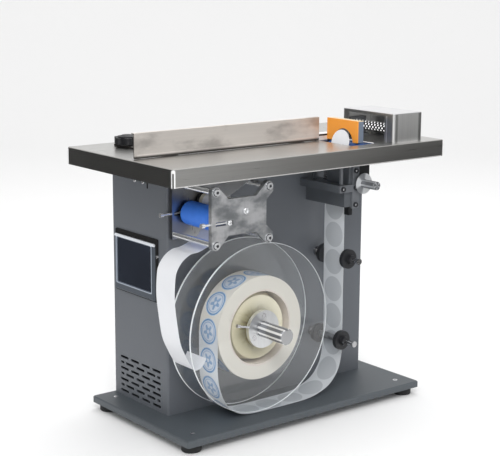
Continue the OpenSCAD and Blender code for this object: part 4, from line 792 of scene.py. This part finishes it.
# Frosted white rims with a faint painted glow.
sawn_rim_glow = mottled("sawn_rim_glow", paint(214, 220, 222), paint(244, 247, 248), 300.0, roughness=0.4, spread=0.2,
                   emission_color=(1, 1, 1), emission_strength=0.12)
rim_deep, rim_ease, rim_proud = 0.0006, 0.0004, 0.0001
for name, body in (("rear_disc", "spool"), ("front_disc", "front_flange")):
    low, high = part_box(name)
    radius, thick = (high.x - low.x) / 2, high.y - low.y
    rim = [(rim_ease, radius + rim_proud), (thick - rim_ease, radius + rim_proud),
           (thick - rim_proud, radius - 2 * rim_proud), (thick - rim_ease, radius - rim_deep),
           (rim_ease, radius - rim_deep), (rim_proud, radius - 2 * rim_proud),
           (rim_ease, radius + rim_proud)]
    x, z = axis_of(name)
    piece(name + "_rim", lathe(rim, 160, (x, low.y, z), (0, 1, 0)), sawn_rim_glow, body)

# Spool shaft and hub. A chromed shaft runs out of the cabinet through a turned bearing
# and carries the turned clamp hub of the front disc.
spool_x, spool_z = axis_of("label_roll")
turned_alloy = bright_metal("turned_aluminium", paint(244, 245, 246), roughness=0.24, scratch=240.0)
# Painted reflection: darker sectors round the turned bearing and hub.
hub_reflection = (ringed(turned_alloy, spool_x, spool_z)[1] * 2 + 1.2).cosine().within(0.3, 0.95)
turned_alloy.tint(paint(150, 152, 155), hub_reflection * 0.5)
dress(turned_alloy, "spool_bearing", "front_hub")
shaft_r = 0.014
shaft_chrome = Finish("shaft_chrome")
chrome_far, chrome_turn = ringed(shaft_chrome, spool_x, spool_z)
on_side = chrome_far.within(shaft_r - 0.0014, shaft_r - 0.0010)
# Painted reflection: bright and dark streaks along the chromed shaft, with a flat mid tone on its end.
streak = (chrome_turn * 9 + 0.6).cosine().within(0.0, 0.7) * on_side + (1 - on_side) * 0.35
shaft_chrome.surface(base_color=shaft_chrome.mix(paint(120, 122, 126), paint(252, 252, 252), streak),
                     metallic=0.5, roughness=0.18 + shaft_chrome.grain(120.0) * 0.1)
dress(shaft_chrome, "spool_shaft")

# Drum, core and roll. A cast nylon drum, darker towards its middle, fills the cardboard
# core of the label roll; the roll's sides show its turns as fine rings.
nylon = Finish("cast_nylon")
nylon_far, nylon_turn = ringed(nylon, spool_x, spool_z)
cast_marks = nylon.ripple(nylon_turn, 5.0, 3.0).within(0.5, 0.64) * (1 - nylon_far.within(0.026, 0.046))
# Painted light and shade: the drum is lighter towards its upper right and darker on the opposite side.
lit_side = (nylon_turn - 0.9).cosine()
nylon_tone = nylon.mix(paint(160, 150, 98), paint(246, 237, 204), nylon_far.within(0.024, 0.056))
nylon_tone = nylon.mix(nylon_tone, paint(112, 92, 58), cast_marks * 0.7)
nylon_tone = nylon.mix(nylon_tone, paint(252, 246, 226), lit_side.within(0.1, 0.95) * 0.55)
nylon_tone = nylon.mix(nylon_tone, paint(146, 137, 94), (0 - lit_side).within(0.2, 0.95) * 0.45)
nylon.surface(base_color=nylon_tone, roughness=0.32 + nylon.grain(35.0) * 0.15)
dress(nylon, "core_drum")
dress(mottled("core_cardboard", paint(216, 204, 194), paint(236, 228, 220), 200.0, roughness=0.8,
              detail=4.0, stretch=(1, 0.3, 1), bump=(0.0004, 0.5)), "label_core")
wound = Finish("wound_labels")
turns = wound.ripple(ringed(wound, spool_x, spool_z)[0], 900.0, 4.0)
wound_tone = wound.mix(paint(218, 212, 200), paint(240, 236, 226), turns)
wound_tone = wound.mix(wound_tone, paint(226, 222, 214), wound.grain(30.0) * 0.5)
wound.surface(base_color=wound_tone, roughness=0.55, normal=wound.relief(turns, 0.0003, 0.4))
dress(wound, "label_roll")


# Label tape. Round labels sit on a translucent backing paper, which runs from the roll
# down its loop, up past the guide rollers and over the peel edge.
def smooth(points, steps):
    """A curve through the points, as the solids have it."""
    made = []
    for i in range(len(points) - 1):
        a, b = points[max(i - 1, 0)], points[i]
        c, d = points[i + 1], points[min(i + 2, len(points) - 1)]
        for k in range(steps):
            t = k / steps
            made.append(tuple((2 * b[n] + (c[n] - a[n]) * t + (2 * a[n] - 5 * b[n] + 4 * c[n] - d[n]) * t * t
                               + (3 * b[n] - a[n] - 3 * c[n] + d[n]) * t ** 3) / 2 for n in (0, 1)))
    return made + [tuple(points[-1])]


def band(path, low_y, high_y, thick):
    """A thin strip along a path in the XZ plane, closed all round."""
    rings = []
    for i, (x, z) in enumerate(path):
        a, b = path[max(i - 1, 0)], path[min(i + 1, len(path) - 1)]
        size = math.hypot(b[0] - a[0], b[1] - a[1])
        out_x, out_z = (a[1] - b[1]) / size * thick / 2, (b[0] - a[0]) / size * thick / 2
        rings.append([(x + side * out_x, y, z + side * out_z)
                      for side, y in ((1, low_y), (1, high_y), (-1, high_y), (-1, low_y))])
    return loft(rings)


spool_low, spool_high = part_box("label_roll")
web_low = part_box("label_web")[0]
sleeve_low, sleeve_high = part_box("lower_sleeve")
top_low, top_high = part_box("upper_sleeve")
edge_low, edge_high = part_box("peel_edge")
roll_r = (spool_high.x - spool_low.x) / 2
web_thick, web_air = 0.0003, 0.0003
web_front, web_rear = spool_low.y, spool_high.y
web_mid = (web_front + web_rear) / 2
tape_x = sleeve_high.x + web_air
leave_x = spool_x - roll_r - web_air - web_thick / 2
loop_wide, loop_base = tape_x - leave_x, web_low.z + web_thick / 2
loop_high = spool_z - loop_base
loop_shares = [(0, 1), (0, 0.8), (0.001, 0.6), (0.012, 0.43), (0.045, 0.26), (0.095, 0.13), (0.165, 0.045),
               (0.24, 0.01), (0.33, 0), (0.55, 0), (0.7, 0.006), (0.8, 0.038), (0.9, 0.12), (0.965, 0.26),
               (0.993, 0.42), (1, 0.55)]
edge_lean, edge_skin = math.radians(6.5), 0.0024
edge_back = tape_x - web_thick / 2 - web_air
edge_run = (edge_high.z - edge_low.z - edge_skin * math.sin(edge_lean)) / math.cos(edge_lean) - edge_skin
tape_tip = (edge_back + edge_run * math.sin(edge_lean) + web_thick / 2 + web_air,
            edge_low.z + edge_run * math.cos(edge_lean))
tape_path = smooth([(leave_x + a * loop_wide, loop_base + b * loop_high) for a, b in loop_shares], steps=18)
tape_path += [(tape_x, (sleeve_low.z + sleeve_high.z) / 2), (tape_x, (top_low.z + top_high.z) / 2),
              (tape_x, edge_low.z), tape_tip]
tape_reach = [0.0]
for a, b in zip(tape_path, tape_path[1:]):
    tape_reach.append(tape_reach[-1] + math.hypot(b[0] - a[0], b[1] - a[1]))
label_r, label_pitch, label_thick, first_label, shade_blur = 0.0230, 0.0505, 0.00012, -0.003, 0.0004
backing = Finish("translucent_backing")
run_x, run_y = backing.parts(backing.node("UVMap", {"uv_map": "run"}))[:2]
run_off = run_x.maths("PINGPONG", run_x - first_label, label_pitch / 2)
label_far = (run_off * run_off + run_y * run_y) ** 0.5
shade = 1 - label_far.within(label_r - shade_blur, label_r + shade_blur)
backing_tone = backing.mix(paint(224, 228, 232), paint(241, 244, 247), backing.grain(18.0))
backing.surface(base_color=backing.mix(backing_tone, paint(206, 210, 214), shade), roughness=0.32, alpha=0.9)
tape = piece("label_tape", band(tape_path, web_front, web_rear, web_thick), backing, "machine")
tape_run = tape.data.uv_layers.new(name="run")
for loop in tape.data.loops:
    tape_run.data[loop.index].uv = (tape_reach[loop.vertex_index // 4],
                                    tape.data.vertices[loop.vertex_index].co.y - web_mid)
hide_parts("label_web")

# Printed labels. Round paper labels with a blue ring and flower, on the tape and on the
# outer turn of the roll. Their backs are plain.
print_steps, print_rings = 40, (0.0, 0.25, 0.5, 0.75, 1.0)


def add_label(spot, along, raised, corners, faces, uvs, looks):
    """Adds a thin round label whose points go through spot(distance along, height, offset)."""
    start, size = len(corners), 1 + (len(print_rings) - 1) * print_steps
    for level in (0, 1):
        for ring in print_rings:
            for k in range(print_steps if ring else 1):
                turn = 2 * math.pi * k / print_steps
                u, v = ring * math.cos(turn), ring * math.sin(turn)
                corners.append(spot(along + u * label_r, v * label_r, raised + level * label_thick))
                uvs.append((u, v))
        base = start + level * size
        for k in range(print_steps):
            n = (k + 1) % print_steps
            faces.append((base, base + 1 + k, base + 1 + n))
            for ring in range(len(print_rings) - 2):
                a = base + 1 + ring * print_steps
                faces.append((a + k, a + print_steps + k, a + print_steps + n, a + n))
            looks += [level] * (len(print_rings) - 1)
    rim = start + 1 + (len(print_rings) - 2) * print_steps
    for k in range(print_steps):
        n = (k + 1) % print_steps
        faces.append((rim + k, rim + n, size + rim + n, size + rim + k))
        looks.append(0)


printed = Finish("printed_label")
print_x, print_y = printed.parts(printed.node("UVMap", {"uv_map": "print"}))[:2]
print_far = (print_x * print_x + print_y * print_y) ** 0.5
print_turn = print_y.maths("ARCTAN2", print_y, print_x)
outer_ring = print_far.within(0.80, 0.83) * (1 - print_far.within(0.93, 0.96))
inner_ring = print_far.within(0.66, 0.68) * (1 - print_far.within(0.73, 0.75))
flower = (print_far < 0.40 + 0.16 * (print_turn * 5).cosine()) * (print_far > 0.14)
ink = outer_ring + inner_ring * 0.7 + flower * 0.75
ink = ink.maths("MINIMUM", ink, 1.0) * (0.7 + printed.grain(160.0) * 0.5)
label_white = printed.mix(paint(196, 208, 224), paint(226, 232, 240), printed.grain(20.0))
printed.surface(base_color=printed.mix(label_white, paint(74, 140, 196), ink), roughness=0.28,
                coat_weight=0.4)
label_back = mottled("label_back", paint(150, 153, 156), paint(170, 173, 176), 20.0, roughness=0.6)


def labels(name, spot, places, body, raised):
    corners, faces, uvs, looks = [], [], [], []
    for along in places:
        add_label(spot, along, raised, corners, faces, uvs, looks)
    mesh = piece(name, (corners, faces), label_back, body, crease=40.0).data
    mesh.materials.append(printed.material)
    layer = mesh.uv_layers.new(name="print")
    for loop in mesh.loops:
        layer.data[loop.index].uv = uvs[loop.vertex_index]
    for face, look in zip(mesh.polygons, looks):
        face.material_index = look


least_share, tape_raise, roll_raise, roll_count, last_room = 0.4, 0.00002, 0.00003, 10, 0.004


def on_tape(s, height, offset):
    """A point over the tape's outer side; before its start the label bends on to the roll."""
    if s < 0:
        turn = math.pi + s / roll_r
        reach = roll_r + offset + (web_air + web_thick) * max(least_share, 1 + s / label_r)
        return spool_x + reach * math.cos(turn), web_mid + height, spool_z + reach * math.sin(turn)
    i = 0
    while i < len(tape_path) - 2 and tape_reach[i + 1] < s:
        i += 1
    (ax, az), (bx, bz) = tape_path[i], tape_path[i + 1]
    past, size, gap = s - tape_reach[i], tape_reach[i + 1] - tape_reach[i], web_thick / 2 + offset
    dx, dz = (bx - ax) / size, (bz - az) / size
    return ax + dx * past + dz * gap, web_mid + height, az + dz * past - dx * gap


def on_roll(s, height, offset):
    turn, reach = s / roll_r, roll_r + offset
    return spool_x + reach * math.cos(turn), web_mid + height, spool_z + reach * math.sin(turn)


tape_count = math.ceil((tape_reach[-1] - label_r - last_room - first_label) / label_pitch)
labels("tape_labels", on_tape, [first_label + label_pitch * k for k in range(tape_count)],
       "machine", tape_raise)
roll_first = math.pi * roll_r + first_label - label_pitch
labels("roll_labels", on_roll, [roll_first - label_pitch * k for k in range(roll_count)], "spool", roll_raise)

# Peeled label. The label that has just left the peel edge stands in the arch of the
# guide block, plain white on its sticky side, still held by its lower edge.
peeled_lean, peeled_up, peeled_off = math.radians(11), 0.0085, 0.0020
peeled_thick, peeled_r, peeled_steps = 0.0003, 0.0231, 48
peeled_start = math.asin(-peeled_up / peeled_r)
peeled_rings = []
for x in (0.0, peeled_thick):
    ring = []
    for k in range(peeled_steps + 1):
        turn = peeled_start + (math.pi - 2 * peeled_start) * k / peeled_steps
        y, z = peeled_r * math.cos(turn), peeled_up + peeled_r * math.sin(turn)
        ring.append((tape_tip[0] + peeled_off + x * math.cos(peeled_lean) + z * math.sin(peeled_lean),
                     web_mid + y, tape_tip[1] - x * math.sin(peeled_lean) + z * math.cos(peeled_lean)))
    peeled_rings.append(ring)
sticky = mottled("sticky_white", paint(240, 243, 248), paint(252, 253, 255), 40.0, roughness=0.3,
                 bump=(0.0004, 0.3))
piece("peeled_label", loft(peeled_rings), sticky, "machine")

# Backing paper. The empty paper runs back under the table, over a tie rod, round the
# drive roller, through the nip, and hangs in a loop beside the spool.
dress(mottled("white_backing", paint(222, 224, 228), paint(240, 241, 244), 14.0, roughness=0.42,
              fine=(60.0, 0.0005, 0.2)), "waste_web")
